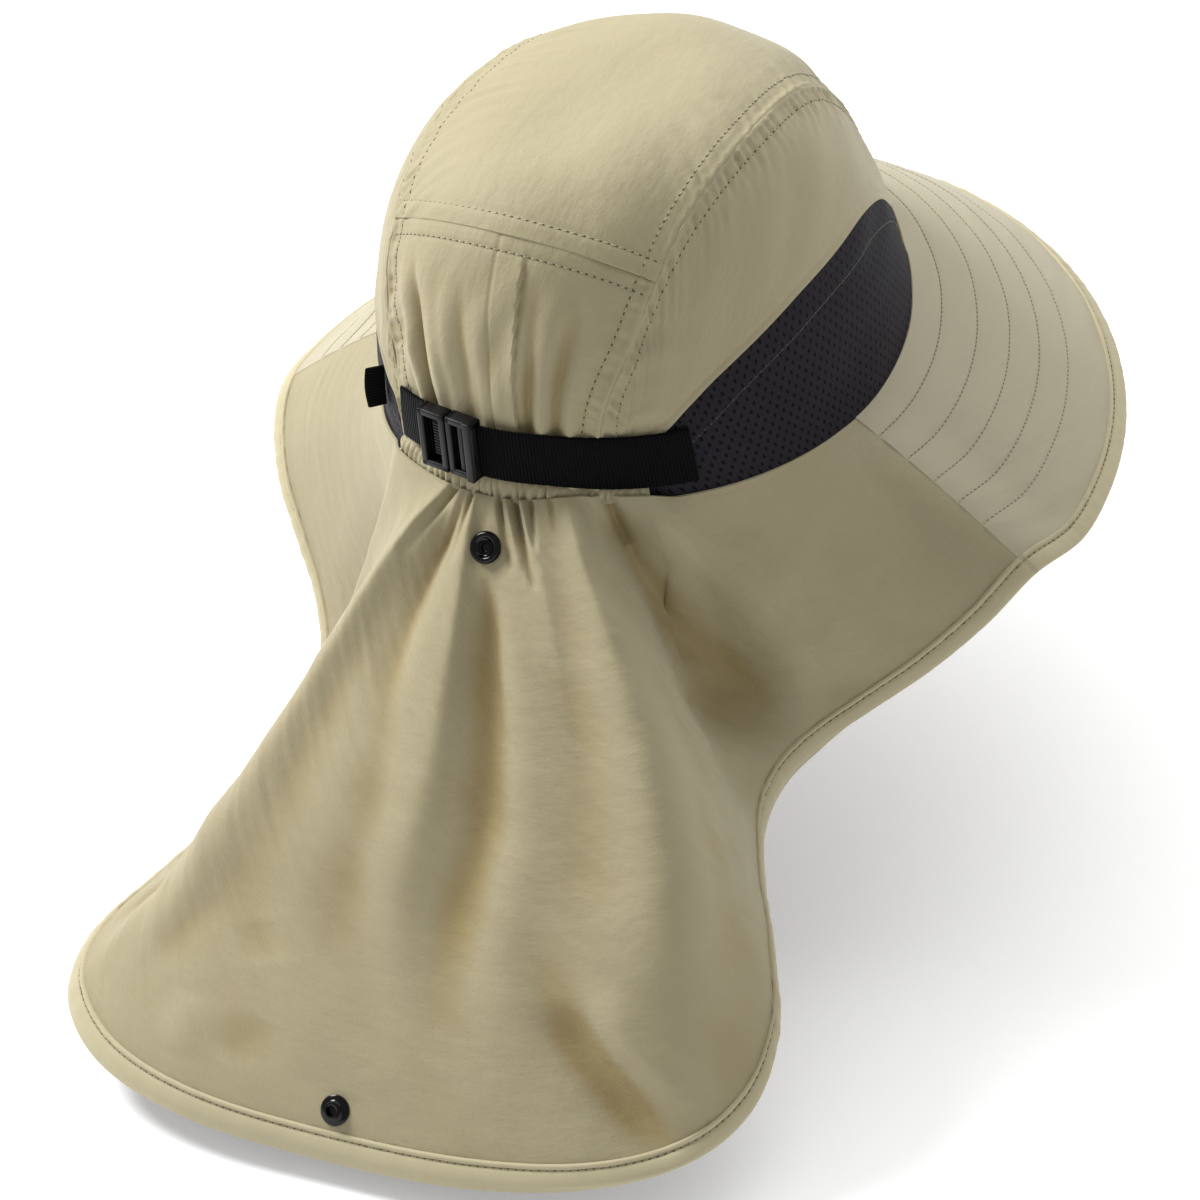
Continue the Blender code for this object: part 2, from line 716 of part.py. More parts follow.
def make_elastic_casing(material):
    clear = math.radians(CASING_END_CLEAR)
    start = mesh_back_angle(-1) - clear
    end = mesh_back_angle(1) + clear - 2 * math.pi
    angles = np.linspace(start, end, CASING_STEPS + 1)
    share = np.linspace(0.0, 1.0, CASING_STEPS + 1)
    ripple = CASING_GATHER * np.cos(share * CASING_GATHERS * 2 * math.pi)
    turns = np.linspace(0.0, 2 * math.pi, 8, endpoint=False)
    sections = []
    for angle, swell in zip(angles, ripple):
        foot = crown_at(np.array(angle), np.array(0.0))
        low = casing_lower_edge(angle)
        high = base_height(angle) + CASING_RISE + CASING_HEIGHT / 2
        foot[2] = (low + high) / 2
        outward = unit(foot * np.array([CROWN_HALF_WIDTH ** -2, CROWN_BACK ** -2, 0.0]))
        out = CASING_THICKNESS / 2 + swell
        upward = np.array([0.0, 0.0, (high - low) / 2])
        ring = [foot + outward * (out * math.cos(turn)) + upward * math.sin(turn) for turn in turns]
        sections.append(ring)
    return add_tube("elastic_casing", np.array(sections), material)


def strap_sections(start_angle, end_angle, sit_start, sit_end, climb_start, steps):
    """Webbing that lies on the crown and rises off it where it meets the buckle."""
    share = np.linspace(0.0, 1.0, steps + 1)
    climb = STRAP_CLIMB * (climb_start + (1 - climb_start) * share ** 2)
    low = share_for_rise(STRAP_RISE + climb)
    high = share_for_rise(STRAP_RISE + climb + STRAP_HEIGHT)
    angle = np.radians(start_angle + (end_angle - start_angle) * share)
    sit = sit_start + (sit_end - sit_start) * smooth_step(0.55, 1.0, share)
    corners = ((low, 0.0), (high, 0.0), (high, 1.0), (low, 1.0))
    rings = [crown_lift(angle, height, sit + face * STRAP_THICKNESS) for height, face in corners]
    return np.stack(rings, axis=1)


def angle_of_side(offset):
    """Angle round the back of a point this far to the left of the middle."""
    return 180.0 - math.degrees(math.asin(offset / CROWN_HALF_WIDTH))


def make_straps(material):
    start = angle_of_side(BUCKLE_CENTRE - BUCKLE_LENGTH / 2 - GAP) - 360.0
    right = strap_sections(STRAP_RIGHT_ANGLE, start, STRAP_LIFT, STRAP_LIFT + STRAP_SIT, 0.0, STRAP_STEPS)
    add_tube("strap_right", right, material)
    end = angle_of_side(BUCKLE_CENTRE + BUCKLE_LENGTH / 2 + GAP)
    left = strap_sections(STRAP_LEFT_ANGLE, end, STRAP_LIFT, STRAP_LIFT + STRAP_SIT, 1.0, STRAP_STEPS // 4)
    add_tube("strap_left", left, material)


def buckle_frame():
    """Matrix of the buckle: X across to the wearer's right, Y up the crown, Z outward."""
    angle = np.array(math.radians(angle_of_side(BUCKLE_CENTRE)))
    middle = np.array(share_for_rise(STRAP_RISE + STRAP_CLIMB + STRAP_HEIGHT / 2))
    centre = crown_lift(angle, middle, np.array(STRAP_LIFT))
    upper = crown_lift(angle, middle + 0.02, np.array(STRAP_LIFT))
    outer = crown_lift(angle, middle, np.array(STRAP_LIFT + 0.001))
    outward = unit(outer - centre)
    up = unit(upper - centre)
    up = unit(up - outward * float(up @ outward))
    across = np.cross(up, outward)
    matrix = Matrix.Identity(4)
    for column, axis in enumerate((across, up, outward)):
        for row in range(3):
            matrix[row][column] = axis[row]
    for row in range(3):
        matrix[row][3] = centre[row]
    return matrix


def add_box(name, low, high, material=None):
    points = [(x, y, z) for x in (low[0], high[0]) for y in (low[1], high[1]) for z in (low[2], high[2])]
    faces = [(0, 1, 3, 2), (4, 6, 7, 5), (0, 4, 5, 1), (2, 3, 7, 6), (0, 2, 6, 4), (1, 5, 7, 3)]
    mesh = bpy.data.meshes.new(name)
    mesh.from_pydata(points, [], faces)
    if material:
        mesh.materials.append(material)
    item = bpy.data.objects.new(name, mesh)
    bpy.context.scene.collection.objects.link(item)
    return item


def cut(item, cutter, matrix):
    cutter.matrix_world = matrix
    cutter.hide_render = True
    cutter.display_type = "WIRE"
    modifier = item.modifiers.new("cut_" + cutter.name, "BOOLEAN")
    modifier.operation = "DIFFERENCE"
    modifier.solver = "EXACT"
    modifier.object = cutter


def round_edges(item):
    modifier = item.modifiers.new("soft_edges", "BEVEL")
    modifier.width = BUCKLE_BEVEL
    modifier.segments = 1
    modifier.limit_method = "ANGLE"


def make_buckle(material):
    """Two halves side by side, the left with a window and the right with two slots."""
    matrix = buckle_frame()
    half = BUCKLE_LENGTH / 2
    tall = BUCKLE_HEIGHT / 2
    through = BUCKLE_THICKNESS * 2
    left = add_box("buckle_left", (-half, -tall, 0.0), (-GAP / 2, tall, BUCKLE_THICKNESS), material)
    left.matrix_world = matrix
    round_edges(left)
    window = add_box("window_cut", (BUCKLE_WALL - half, BUCKLE_WALL - tall, -through),
                     (-BUCKLE_WALL, tall - BUCKLE_WALL, through))
    cut(left, window, matrix)
    right = add_box("buckle_right", (GAP / 2, -tall, 0.0), (half, tall, BUCKLE_THICKNESS), material)
    right.matrix_world = matrix
    round_edges(right)
    slot = (half - 3 * BUCKLE_WALL) / 2
    for index, start in enumerate((BUCKLE_WALL, 2 * BUCKLE_WALL + slot)):
        opening = add_box(f"slot_cut_{index}", (start, BUCKLE_WALL - tall, -through),
                          (start + slot, tall - BUCKLE_WALL, through))
        cut(right, opening, matrix)


# Snap and label


def surface_frame(section, down, clear):
    """Matrix of a piece that sits on the flap: Z along the cloth's normal, Y down the flap."""
    reach = 0.03
    round_rim = skirt(section + 10 * reach, down) - skirt(section - 10 * reach, down)
    along = unit(skirt(section, down + reach) - skirt(section, down - reach))
    normal = unit(np.cross(round_rim, along))
    across = np.cross(along, normal)
    point = skirt(section, down) + normal * clear
    matrix = Matrix.Identity(4)
    for column, axis in enumerate((across, along, normal)):
        for row in range(3):
            matrix[row][column] = axis[row]
    for row in range(3):
        matrix[row][3] = point[row]
    return matrix


def add_turned(name, profile, sides, material, matrix):
    """Body of revolution whose profile starts and ends on its axis."""
    points = []
    rings = []
    for radius, height in profile:
        if radius == 0:
            rings.append([len(points)])
            points.append((0.0, 0.0, height))
        else:
            rings.append(list(range(len(points), len(points) + sides)))
            points += [(radius * math.cos(2 * math.pi * side / sides),
                        radius * math.sin(2 * math.pi * side / sides), height) for side in range(sides)]
    faces = []
    for low, high in zip(rings, rings[1:]):
        for side in range(sides):
            after = (side + 1) % sides
            lower = [low[side % len(low)], low[after % len(low)]]
            upper = [high[after % len(high)], high[side % len(high)]]
            faces.append(list(dict.fromkeys(lower + upper)))
    item = add_mesh(name, points, faces, material)
    item.matrix_world = matrix
    return item


def make_snaps(material):
    clear = FLAP_THICKNESS / 2 + SNAP_CLEAR
    radius = SNAP_DIAMETER / 2
    bore = SOCKET_BORE / 2
    socket = (
        (0.0, 0.0),
        (radius * 0.92, 0.0),
        (radius, SOCKET_HEIGHT * 0.35),
        (radius * 0.86, SOCKET_HEIGHT),
        (bore * 1.35, SOCKET_HEIGHT),
        (bore, SOCKET_HEIGHT * 0.8),
        (bore, SOCKET_HEIGHT * 0.4),
        (0.0, SOCKET_HEIGHT * 0.4),
    )
    socket_frame = surface_frame(SOCKET_SECTION, SOCKET_PLACE, clear)
    add_turned("snap_socket", socket, 20, material, socket_frame)
    flange = STUD_FLANGE / 2
    post = STUD_POST / 2
    stud = (
        (0.0, 0.0),
        (flange, 0.0),
        (flange, STUD_HEIGHT * 0.22),
        (post * 1.15, STUD_HEIGHT * 0.36),
        (post * 0.92, STUD_HEIGHT * 0.55),
        (post, STUD_HEIGHT * 0.82),
        (post * 0.9, STUD_HEIGHT),
        (STUD_BORE / 2, STUD_HEIGHT),
        (STUD_BORE / 2, STUD_HEIGHT * 0.5),
        (0.0, STUD_HEIGHT * 0.5),
    )
    stud_frame = surface_frame(STUD_SECTION, STUD_PLACE, clear)
    add_turned("snap_stud", stud, 20, material, stud_frame)


def make_label_tab(material):
    """Small folded tab that stands out from the left mesh band."""
    angle = math.radians(TAB_ANGLE)
    low = share_for_rise(TAB_RISE)
    high = share_for_rise(TAB_RISE + TAB_HEIGHT)
    turn = TAB_THICKNESS / CROWN_BACK
    corners = ((low, 0.0), (high, 0.0), (high, 1.0), (low, 1.0))
    ends = []
    for place in (angle, angle + turn):
        ends.append([crown_lift(np.array(place), np.array(height), np.array(GAP + out * TAB_REACH))
                     for height, out in corners])
    return add_tube("label_tab", np.array(ends), material)


def build():
    clear_scene()
    cloth = make_material("khaki_cloth", (0.56, 0.50, 0.35), 0.75)
    brim_cloth = make_material("brim_cloth", (0.55, 0.52, 0.41), 0.7)
    rim_cloth = make_material("rim_cloth", (0.53, 0.47, 0.31), 0.75)
    mesh_cloth = make_material("dark_mesh", (0.045, 0.040, 0.050), 0.7)
    webbing = make_material("black_webbing", (0.012, 0.012, 0.014), 0.6)
    plastic = make_material("black_plastic", (0.020, 0.021, 0.025), 0.42)
    enamel = make_material("black_enamel", (0.008, 0.008, 0.009), 0.22, 0.6)
    make_crown_top(cloth)
    make_crown_back(cloth)
    for word, side in (("left", 1), ("right", -1)):
        make_crown_side("crown_side_" + word, side, cloth)
        make_mesh_band("mesh_band_" + word, side, mesh_cloth)
    make_brim(brim_cloth)
    make_neck_flap(cloth)
    make_edge_binding(rim_cloth)
    make_elastic_casing(cloth)
    make_straps(webbing)
    make_buckle(plastic)
    make_snaps(enamel)
    make_label_tab(webbing)
    bpy.context.view_layer.update()


build()
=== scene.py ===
"""The flap sun hat as the photo shows it: sewn cloth, mesh, webbing, buckle and snaps.

Metres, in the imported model's frame: the origin is the middle of the head opening, +Z is
up, the brim points to -Y, the flap hangs to +Y and the wearer's left is +X. Angles go
round the crown from the front, and the wearer's left is +90 degrees.
"""
import math

import bmesh
import bpy
import numpy as np
from mathutils import Matrix, Vector


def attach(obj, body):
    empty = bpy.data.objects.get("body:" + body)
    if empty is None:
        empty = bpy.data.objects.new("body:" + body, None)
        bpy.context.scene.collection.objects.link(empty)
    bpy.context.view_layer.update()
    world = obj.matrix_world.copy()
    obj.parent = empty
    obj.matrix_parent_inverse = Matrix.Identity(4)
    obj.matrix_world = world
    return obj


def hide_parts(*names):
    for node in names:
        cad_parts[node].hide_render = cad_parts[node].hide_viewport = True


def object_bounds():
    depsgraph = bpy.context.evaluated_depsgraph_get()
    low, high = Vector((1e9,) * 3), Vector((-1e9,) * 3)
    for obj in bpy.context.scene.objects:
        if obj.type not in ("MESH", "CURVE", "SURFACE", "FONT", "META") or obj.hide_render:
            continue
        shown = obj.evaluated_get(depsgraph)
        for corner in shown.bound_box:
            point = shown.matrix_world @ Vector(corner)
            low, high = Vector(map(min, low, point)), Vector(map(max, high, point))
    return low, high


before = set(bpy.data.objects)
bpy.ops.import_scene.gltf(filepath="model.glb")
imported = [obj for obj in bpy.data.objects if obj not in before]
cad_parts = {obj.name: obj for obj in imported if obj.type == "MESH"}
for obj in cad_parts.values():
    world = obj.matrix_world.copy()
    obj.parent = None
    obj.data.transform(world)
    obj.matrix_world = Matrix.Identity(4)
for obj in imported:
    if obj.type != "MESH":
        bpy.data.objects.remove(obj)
cad_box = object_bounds()

# Camera of the photo: turn and lift round the hat, roll, distance, pixels per metre in a
# 1200 pixel picture, and the pixel where the origin lies
CAMERA_TURN = 33.42
CAMERA_LIFT = 35.10
CAMERA_ROLL = -5.77
CAMERA_DISTANCE = 1.5671
PIXELS_PER_METRE = 2859.5
ORIGIN_PIXEL = (652.19, 330.58)
PICTURE_SIDE = 1200
SENSOR_WIDTH = 36.0

# Crown, as in the part
CROWN_HALF_WIDTH = 0.0876
CROWN_FRONT = 0.1048
CROWN_BACK = 0.1108
CROWN_HEIGHT = 0.1078
CROWN_LEAN = 0.0184
CROWN_WIDTH_CURVE = 0.52
CROWN_HEIGHT_CURVE = 0.98
CROWN_PINCH = 0.03
BASE_FRONT_RISE = 0.0145
BASE_SIDE_DIP = 0.0152
STRIP_HALF_WIDTH = 0.0536
BACK_SEAM_PLACE = 0.49
BACK_FOOT_RISE = 0.0079
MESH_RISE = 0.0592
MESH_FRONT_ANGLE = 47.0
MESH_BACK_ANGLE = 145.0
MESH_LEFT_TURN = 8.0
CLOTH = 0.0010

# Brim, flap and rim band, as in the part
BRIM_FRONT_REACH = 0.0738
BRIM_SIDE_REACH = 0.0733
BRIM_LEFT_SHARE = 0.915
BRIM_FRONT_DROP = 0.0316
BRIM_SIDE_DROP = 0.0496
BRIM_END_ANGLE = 97.0
BRIM_THICKNESS = 0.0018
BRIM_CROWN = 0.0030
FOOT_CLEAR = 0.0009
FLAP_HALF_WIDTH = 0.1300
FLAP_REACH = 0.2500
FLAP_DROP = 0.1800
FLAP_THICKNESS = 0.0012
FLAP_FOLD = 0.0060
FLAP_SWELL = 0.0100
RIM_WIDTH = 0.0080
RIM_CLEAR = 0.0005
RIM_LAP = 0.0006
FOOT_TUCK = -0.0018

# Casing, strap, buckle, snaps and tab, as in the part
CASING_HEIGHT = 0.0100
CASING_RISE = 0.0024
CASING_THICKNESS = 0.0046
CASING_GATHER = 0.0006
CASING_LAP = 0.28
CASING_LAP_OUT = 0.42
CASING_HUMP = 0.0034
CASING_HUMP_ANGLE = -158.0
CASING_HUMP_WIDTH = 11.0
CASING_TAPER = 6.0
STRAP_HEIGHT = 0.0200
STRAP_THICKNESS = 0.0013
STRAP_RISE = 0.0080
STRAP_LIFT = 0.0006
STRAP_SIT = 0.0018
STRAP_CLIMB = 0.0036
STRAP_RIGHT_ANGLE = -134.5
STRAP_LEFT_ANGLE = 156.0
BUCKLE_CENTRE = 0.0090
BUCKLE_LENGTH = 0.0226
BUCKLE_HEIGHT = 0.0225
BUCKLE_THICKNESS = 0.0062
SNAP_DIAMETER = 0.0112
SOCKET_SECTION = 13.25
SOCKET_DROP = 0.0152
STUD_SECTION = 14.0
STUD_MARGIN = 0.0015
SNAP_CALM = 0.8
STUD_FLANGE = 0.0106
TAB_HEIGHT = 0.0150
TAB_RISE = 0.0150
TAB_REACH = 0.0065
TAB_THICKNESS = 0.0016
TAB_ANGLE = 143.5
GAP = 0.0003

# Sewing
SEAM_ROW = 0.0058
SEAM_RIDGE = 0.0007
SEAM_BAND = 0.0003
STITCH_PITCH = 0.0027
STITCH_WIDTH = 0.00046
THREAD_SHARE = 0.64
HOLE_LENGTH = 0.0013
HOLE_WIDTH = 0.00054
HOLE_LIFT = -0.00008
BRIM_PITCH = 0.0023
LAP_TOP = 0.385
LAP_FOOT = 0.315
LAP_HEIGHT = 0.0009
LAP_DROP = 0.0020
CREASE_TOP = 0.485
CREASE_FOOT = 0.425
BRIM_ROWS = (0.14, 0.31, 0.47, 0.62, 0.77)
MESH_ROW = 0.0115

# Seams of the centre strip: place from the front foot (-1) over the top to the back foot
# (1), then the right and left seam as shares of STRIP_HALF_WIDTH
STRIP_ROWS = (
    (-1.00, 0.72, 0.72),
    (-0.45, 0.89, 0.87),
    (0.00, 1.00, 0.92),
    (0.30, 0.99, 0.88),
    (0.47, 0.95, 0.84),
    (0.63, 0.88, 0.83),
    (0.78, 0.75, 0.70),
    (1.00, 0.68, 0.56),
)

# Upper edge of a mesh band: angle from the front and height as a share of MESH_RISE
MESH_EDGE = (
    (51.0, 0.52),
    (60.0, 0.80),
    (72.0, 0.96),
    (85.0, 1.00),
    (100.0, 0.97),
    (113.0, 0.87),
    (125.0, 0.73),
    (133.0, 0.59),
    (139.0, 0.46),
    (144.0, 0.38),
)

# Rim of the neck flap: crown angle, then its rim on the right and on the left as shares
# of FLAP_HALF_WIDTH, FLAP_REACH and FLAP_DROP, then its swell as shares of FLAP_SWELL
FLAP_COLUMNS = (
    "angle", "right_out", "right_back", "right_drop",
    "left_out", "left_back", "left_drop", "right_swell", "left_swell",
)
FLAP_ROWS = (
    (97.0, 1.198, 0.077, 0.268, 1.158, 0.072, 0.271, 0.20, 0.20),
    (105.0, 1.098, 0.123, 0.362, 1.110, 0.142, 0.322, 0.30, 0.30),
    (113.0, 0.982, 0.175, 0.445, 1.025, 0.202, 0.386, 0.35, 0.30),
    (121.0, 0.860, 0.231, 0.511, 0.915, 0.253, 0.461, 0.30, 0.20),
    (130.0, 0.758, 0.290, 0.563, 0.808, 0.302, 0.541, 0.10, 0.00),
    (139.0, 0.707, 0.353, 0.605, 0.737, 0.360, 0.622, 0.00, -0.30),
    (147.0, 0.720, 0.423, 0.646, 0.722, 0.430, 0.702, 0.10, -0.30),
    (153.0, 0.795, 0.498, 0.693, 0.761, 0.516, 0.773, 0.20, -0.60),
    (158.0, 0.905, 0.581, 0.753, 0.836, 0.614, 0.830, 0.30, -0.90),
    (162.0, 1.000, 0.671, 0.822, 0.915, 0.722, 0.872, 0.30, -1.05),
    (166.0, 1.012, 0.766, 0.889, 0.958, 0.832, 0.896, 0.20, -0.85),
    (170.0, 0.915, 0.853, 0.940, 0.888, 0.928, 0.920, 0.10, -0.50),
    (173.5, 0.705, 0.922, 0.974, 0.700, 0.994, 0.958, 0.10, -0.10),
    (177.0, 0.392, 0.972, 0.993, 0.398, 1.018, 0.984, 0.05, 0.05),
    (180.0, 0.000, 1.000, 1.000, 0.000, 1.000, 1.000, 0.00, 0.00),
)

# Large folds of the flap: section at the crown and at the rim, depth as a share of
# FLAP_FOLD, half width in sections, and where it starts and dies out. The last two are left
# to the dressed cloth, and the others are as in the part.
FOLD_ROWS = (
    (6.1, 5.2, -1.20, 1.00, 0.00, 1.00),
    (8.6, 11.4, 0.90, 1.00, 0.00, 1.20),
    (10.6, 12.2, -0.40, 0.60, 0.05, 0.75),
    (12.4, 12.9, 0.35, 0.55, 0.05, 0.90),
    (13.4, 12.4, -0.45, 0.50, 0.04, 0.60),
    (14.9, 14.2, 0.45, 0.55, 0.04, 0.95),
    (16.6, 15.3, -1.00, 0.80, 0.00, 1.00),
    (15.0, 11.0, -0.60, 0.40, 0.60, 1.05),
    (18.3, 17.0, 0.25, 0.80, 0.00, 0.80),
    (19.6, 18.2, -1.50, 1.40, 0.20, 1.02),
    (21.9, 22.8, -1.30, 0.85, 0.00, 1.00),
    (4.0, 3.4, 0.35, 1.20, 0.00, 0.90),
    (21.6, 20.9, 0.50, 0.90, 0.00, 0.95),
)

# Folds along a line: depth in metres (ridges positive), half width in sections towards the
# wearer's right and left, then the line as section and share down, from its top to its foot
LINE_FOLDS = (
    (-0.0062, 0.45, 0.70,
     ((15.4, 0.00), (15.3, 0.12), (15.0, 0.28), (14.6, 0.42), (14.5, 0.60), (14.7, 0.92))),
    (0.0066, 0.75, 0.75, ((16.7, 0.00), (16.9, 0.15), (16.7, 0.40), (16.5, 0.60), (16.6, 0.90))),
    (0.0044, 0.32, 0.60, ((14.2, 0.00), (13.9, 0.13), (13.75, 0.30), (13.8, 0.45), (14.1, 0.70))),
    (-0.0052, 0.42, 0.38,
     ((13.4, 0.03), (13.0, 0.19), (12.85, 0.30), (12.9, 0.46), (13.2, 0.62), (13.3, 0.90))),
    (0.0040, 0.80, 0.80, ((10.7, 0.00), (11.2, 0.30), (11.5, 0.60), (11.9, 0.95))),
    (0.0095, 1.20, 0.90,
     ((8.7, 0.00), (9.1, 0.10), (9.5, 0.25), (9.9, 0.50), (10.3, 0.68), (10.5, 0.92))),
    (-0.0085, 0.50, 1.60,
     ((7.0, 0.00), (6.8, 0.08), (6.5, 0.19), (5.9, 0.33), (5.4, 0.48), (4.9, 0.64), (4.5, 0.90))),
    (0.0034, 0.90, 0.50,
     ((5.8, 0.00), (5.6, 0.10), (5.2, 0.22), (4.6, 0.35), (4.2, 0.50), (3.6, 0.85))),
    (-0.0042, 0.20, 0.40, ((12.05, 0.72), (11.85, 0.80), (11.55, 0.87), (11.15, 0.98))),
    (0.0040, 0.34, 0.22, ((11.60, 0.70), (11.35, 0.80), (11.00, 0.87), (10.65, 0.96))),
    (-0.0022, 0.30, 0.42, ((14.6, 0.52), (14.2, 0.65), (13.95, 0.80), (13.9, 0.90))),
)

# Smaller creases of the flap: section and share down where it starts and ends, depth in
# metres (ridges positive) and half width in metres
CREASE_ROWS = (
    (16.3, 0.00, 16.6, 0.12, -0.0030, 0.0035),
    (15.7, 0.00, 15.5, 0.09, 0.0010, 0.0022),
    (15.0, 0.00, 14.5, 0.10, -0.0024, 0.0022),
    (14.4, 0.00, 14.2, 0.06, 0.0010, 0.0020),
    (12.7, 0.00, 12.2, 0.10, -0.0028, 0.0021),
    (12.1, 0.00, 11.8, 0.10, 0.0014, 0.0020),
    (11.65, 0.00, 11.3, 0.13, -0.0036, 0.0024),
    (11.1, 0.00, 11.0, 0.09, 0.0014, 0.0019),
    (10.7, 0.00, 10.9, 0.07, -0.0025, 0.0019),
    (9.6, 0.00, 9.8, 0.05, -0.0012, 0.0018),
    (7.0, 0.00, 6.7, 0.12, -0.0032, 0.0030),
    (7.6, 0.00, 8.2, 0.14, 0.0016, 0.0030),
    (16.0, 0.69, 16.2, 0.84, -0.0024, 0.0070),
    (15.3, 0.70, 14.9, 0.75, -0.0012, 0.0050),
    (14.75, 0.83, 14.9, 0.91, -0.0014, 0.0060),
    (15.5, 0.84, 15.3, 0.93, 0.0018, 0.0060),
    (17.2, 0.80, 17.0, 0.94, 0.0016, 0.0080),
    (17.9, 0.72, 18.0, 0.93, -0.0018, 0.0070),
    (12.2, 0.40, 12.4, 0.80, -0.0008, 0.0110),
)

# Pleats and gathers of the back panel: share across from the right seam at its top and at
# its foot, depth in metres (ridges positive) and half width as a share of the panel
PLEAT_ROWS = (
    (0.10, 0.11, 0.0011, 0.026),
    (0.17, 0.17, -0.0024, 0.024),
    (0.24, 0.22, 0.0015, 0.024),
    (0.31, 0.27, -0.0022, 0.020),
    (0.53, 0.46, 0.0008, 0.030),
    (0.62, 0.53, -0.0014, 0.024),
    (0.70, 0.60, 0.0010, 0.030),
    (0.77, 0.68, 0.0014, 0.030),
    (0.86, 0.755, -0.0046, 0.020),
    (0.92, 0.81, 0.0016, 0.024),
)

# Waves of the cloth: height, length across and along in metres, and seed
WAVES = {
    "top": (0.00035, 0.040, 0.060, 23),
    "top seams": (0.00024, 0.030, 0.0065, 24),
    "back": (0.0004, 0.022, 0.050, 34),
    "side": (0.00040, 0.045, 0.045, 5),
    "side seam": (0.00022, 0.030, 0.006, 7),
    "mesh": (0.0003, 0.022, 0.05, 41),
    "brim": (0.00018, 0.020, 0.045, 51),
}

# Waves of the flap's cloth: height at its sides, height added on the open cloth, length
# across and down, and seed
FLAP_WAVES = (
    (0.00012, 0.00033, 0.024, 0.090, 11),
    (0.0, 0.00016, 0.009, 0.034, 12),
)

# Width of a flap section laid flat at the casing, what it gains by the rim, and its length
SECTION_WIDTH_TOP = 0.0125
SECTION_WIDTH_GAIN = 0.0145
FLAP_LENGTH = 0.235

# Relief beside a long seam: the pressed edge, the raised band's end, the ditch under the
# row of stitches, and the puckers inside and past the row
RIDGE_PLACE = 0.0006
RIDGE_WIDTH = 0.0012
BAND_FADE = 0.0016
DITCH_DEPTH = 0.00028
DITCH_WIDTH = 0.0008
PUCKER_LENGTH = 0.0046
PUCKER_INSIDE = 0.00034
PUCKER_PAST = 0.00016
TOP_BACK_ROW = 0.0060
BACK_TOP_ROW = 0.0056
CROSS_DITCH = 0.00025
CROSS_DITCH_WIDTH = 0.0009

# Steps of each grid along and across, and sides of turned pieces. A side panel's lower edge
# has cells before, along and behind its mesh band
TOP_STEPS = (210, 72)
BACK_STEPS = (96, 210)
SIDE_STEPS = (240, 60)
MESH_STEPS = (220, 44)
BRIM_STEPS = (280, 96)
FLAP_STEPS = (430, 180)
RIM_STEPS = 720
CASING_STEPS = 420
CASING_SIDES = 20
TURNED_SIDES = 56
SIDE_EDGE_CELLS = (4, 24, 2)
SIDE_CELLS = sum(SIDE_EDGE_CELLS)

# Relief of hems, edges and the brim's rows: height or depth, then width
TOP_HEM = 0.0003
TOP_HEM_END = 0.0050
TOP_HEM_FADE = 0.0072
SIDE_HEM = 0.0004
SIDE_HEM_DITCH = 0.0002
BACK_GATHERS = 0.0007
BACK_CREASE = 0.0004
BRIM_DITCH = 0.00030
BRIM_DITCH_WIDTH = 0.0009
BRIM_PUCKER = 0.00006
SIDE_PULL = 0.0010
CASING_FOLD = 0.0019
CASING_LEAN = 0.00035
CASING_KNOTS = 34
TAB_BOW = 0.0006

# Tiles of the weave and the knit, and the height of the cloth's relief
THREAD_PITCH = 0.0007
WEAVE_HEIGHT = 0.00003
CRINKLE_HEIGHT = 0.0016
SLUB_HEIGHT = 0.00016
KNIT_PITCH_ACROSS = 0.0040
KNIT_PITCH_UP = 0.0032
KNIT_HOLE_ACROSS = 0.00060
KNIT_HOLE_UP = 0.00105
KNIT_HEIGHT = 0.00018
KNIT_HOLE_DEPTH = 0.0006
RIB_PITCH = 0.00115
RIB_HEIGHT = 0.00016
WEBBING_THREAD = 0.00008
SHEEN_ROUGHNESS = 0.45
COAT_ROUGHNESS = 0.12

# Colours: light and dark tone of each cloth, then single colours
KHAKI = ((0.330, 0.288, 0.176), (0.276, 0.238, 0.138))
BRIM_TOP = ((0.375, 0.34, 0.238), (0.325, 0.29, 0.195))
RIM_TOP = ((0.43, 0.38, 0.245), (0.375, 0.33, 0.20))
UNDERSIDE = ((0.105, 0.085, 0.07), (0.08, 0.065, 0.052))
KNIT = ((0.0200, 0.0170, 0.0225), (0.0085, 0.0070, 0.0098))
# Painted shade: near-black colour of the knit's holes, standing for the shaded inside of the crown seen
# through them
KNIT_HOLE_SHADE = (0.0008, 0.0008, 0.0008)
# Webbing: the light tone is painted on the ribs' crests and the dark tone in their troughs, as painted light
# and shade
WEBBING = ((0.0048, 0.0048, 0.0058), (0.0008, 0.0008, 0.0010))
PLASTIC = (0.0042, 0.0038, 0.0048)
ENAMEL = (0.0012, 0.0012, 0.0014)
TAN_THREAD = (0.36, 0.315, 0.185)
DARK_THREAD = (0.018, 0.015, 0.019)
# Painted shade: dark colours of the needle holes, standing for the shade in each puncture
NEEDLE_HOLE_SHADE = (0.055, 0.042, 0.018)
RIM_HOLE_SHADE = (0.15, 0.12, 0.06)
FLOOR_TONE = (0.93, 0.93, 0.93, 1.0)
WHITE = (1.0, 1.0, 1.0, 1.0)

# Painted shade: cloth is given a warmer, darker colour in the valleys of its folds, where shade falls
PAINTED_HOLLOW_SHADE = (0.84, 0.75, 0.56)

# Light: strength of the world and the floor, where the lamps aim, and for each lamp its
# way to the camera's right, up and along its view, its size and its power
WORLD_STRENGTH = 0.50
FLOOR_GLOW = 0.24
FLOOR_DROP = 0.012
FLOOR_REACH = 6.0
LIGHT_AIM = (0.0, 0.05, -0.03)
LAMPS = (
    ("key", -0.95, 0.95, -0.25, 0.60, 26.0),
    ("fill", 0.45, 1.45, -0.05, 2.0, 20.0),
)

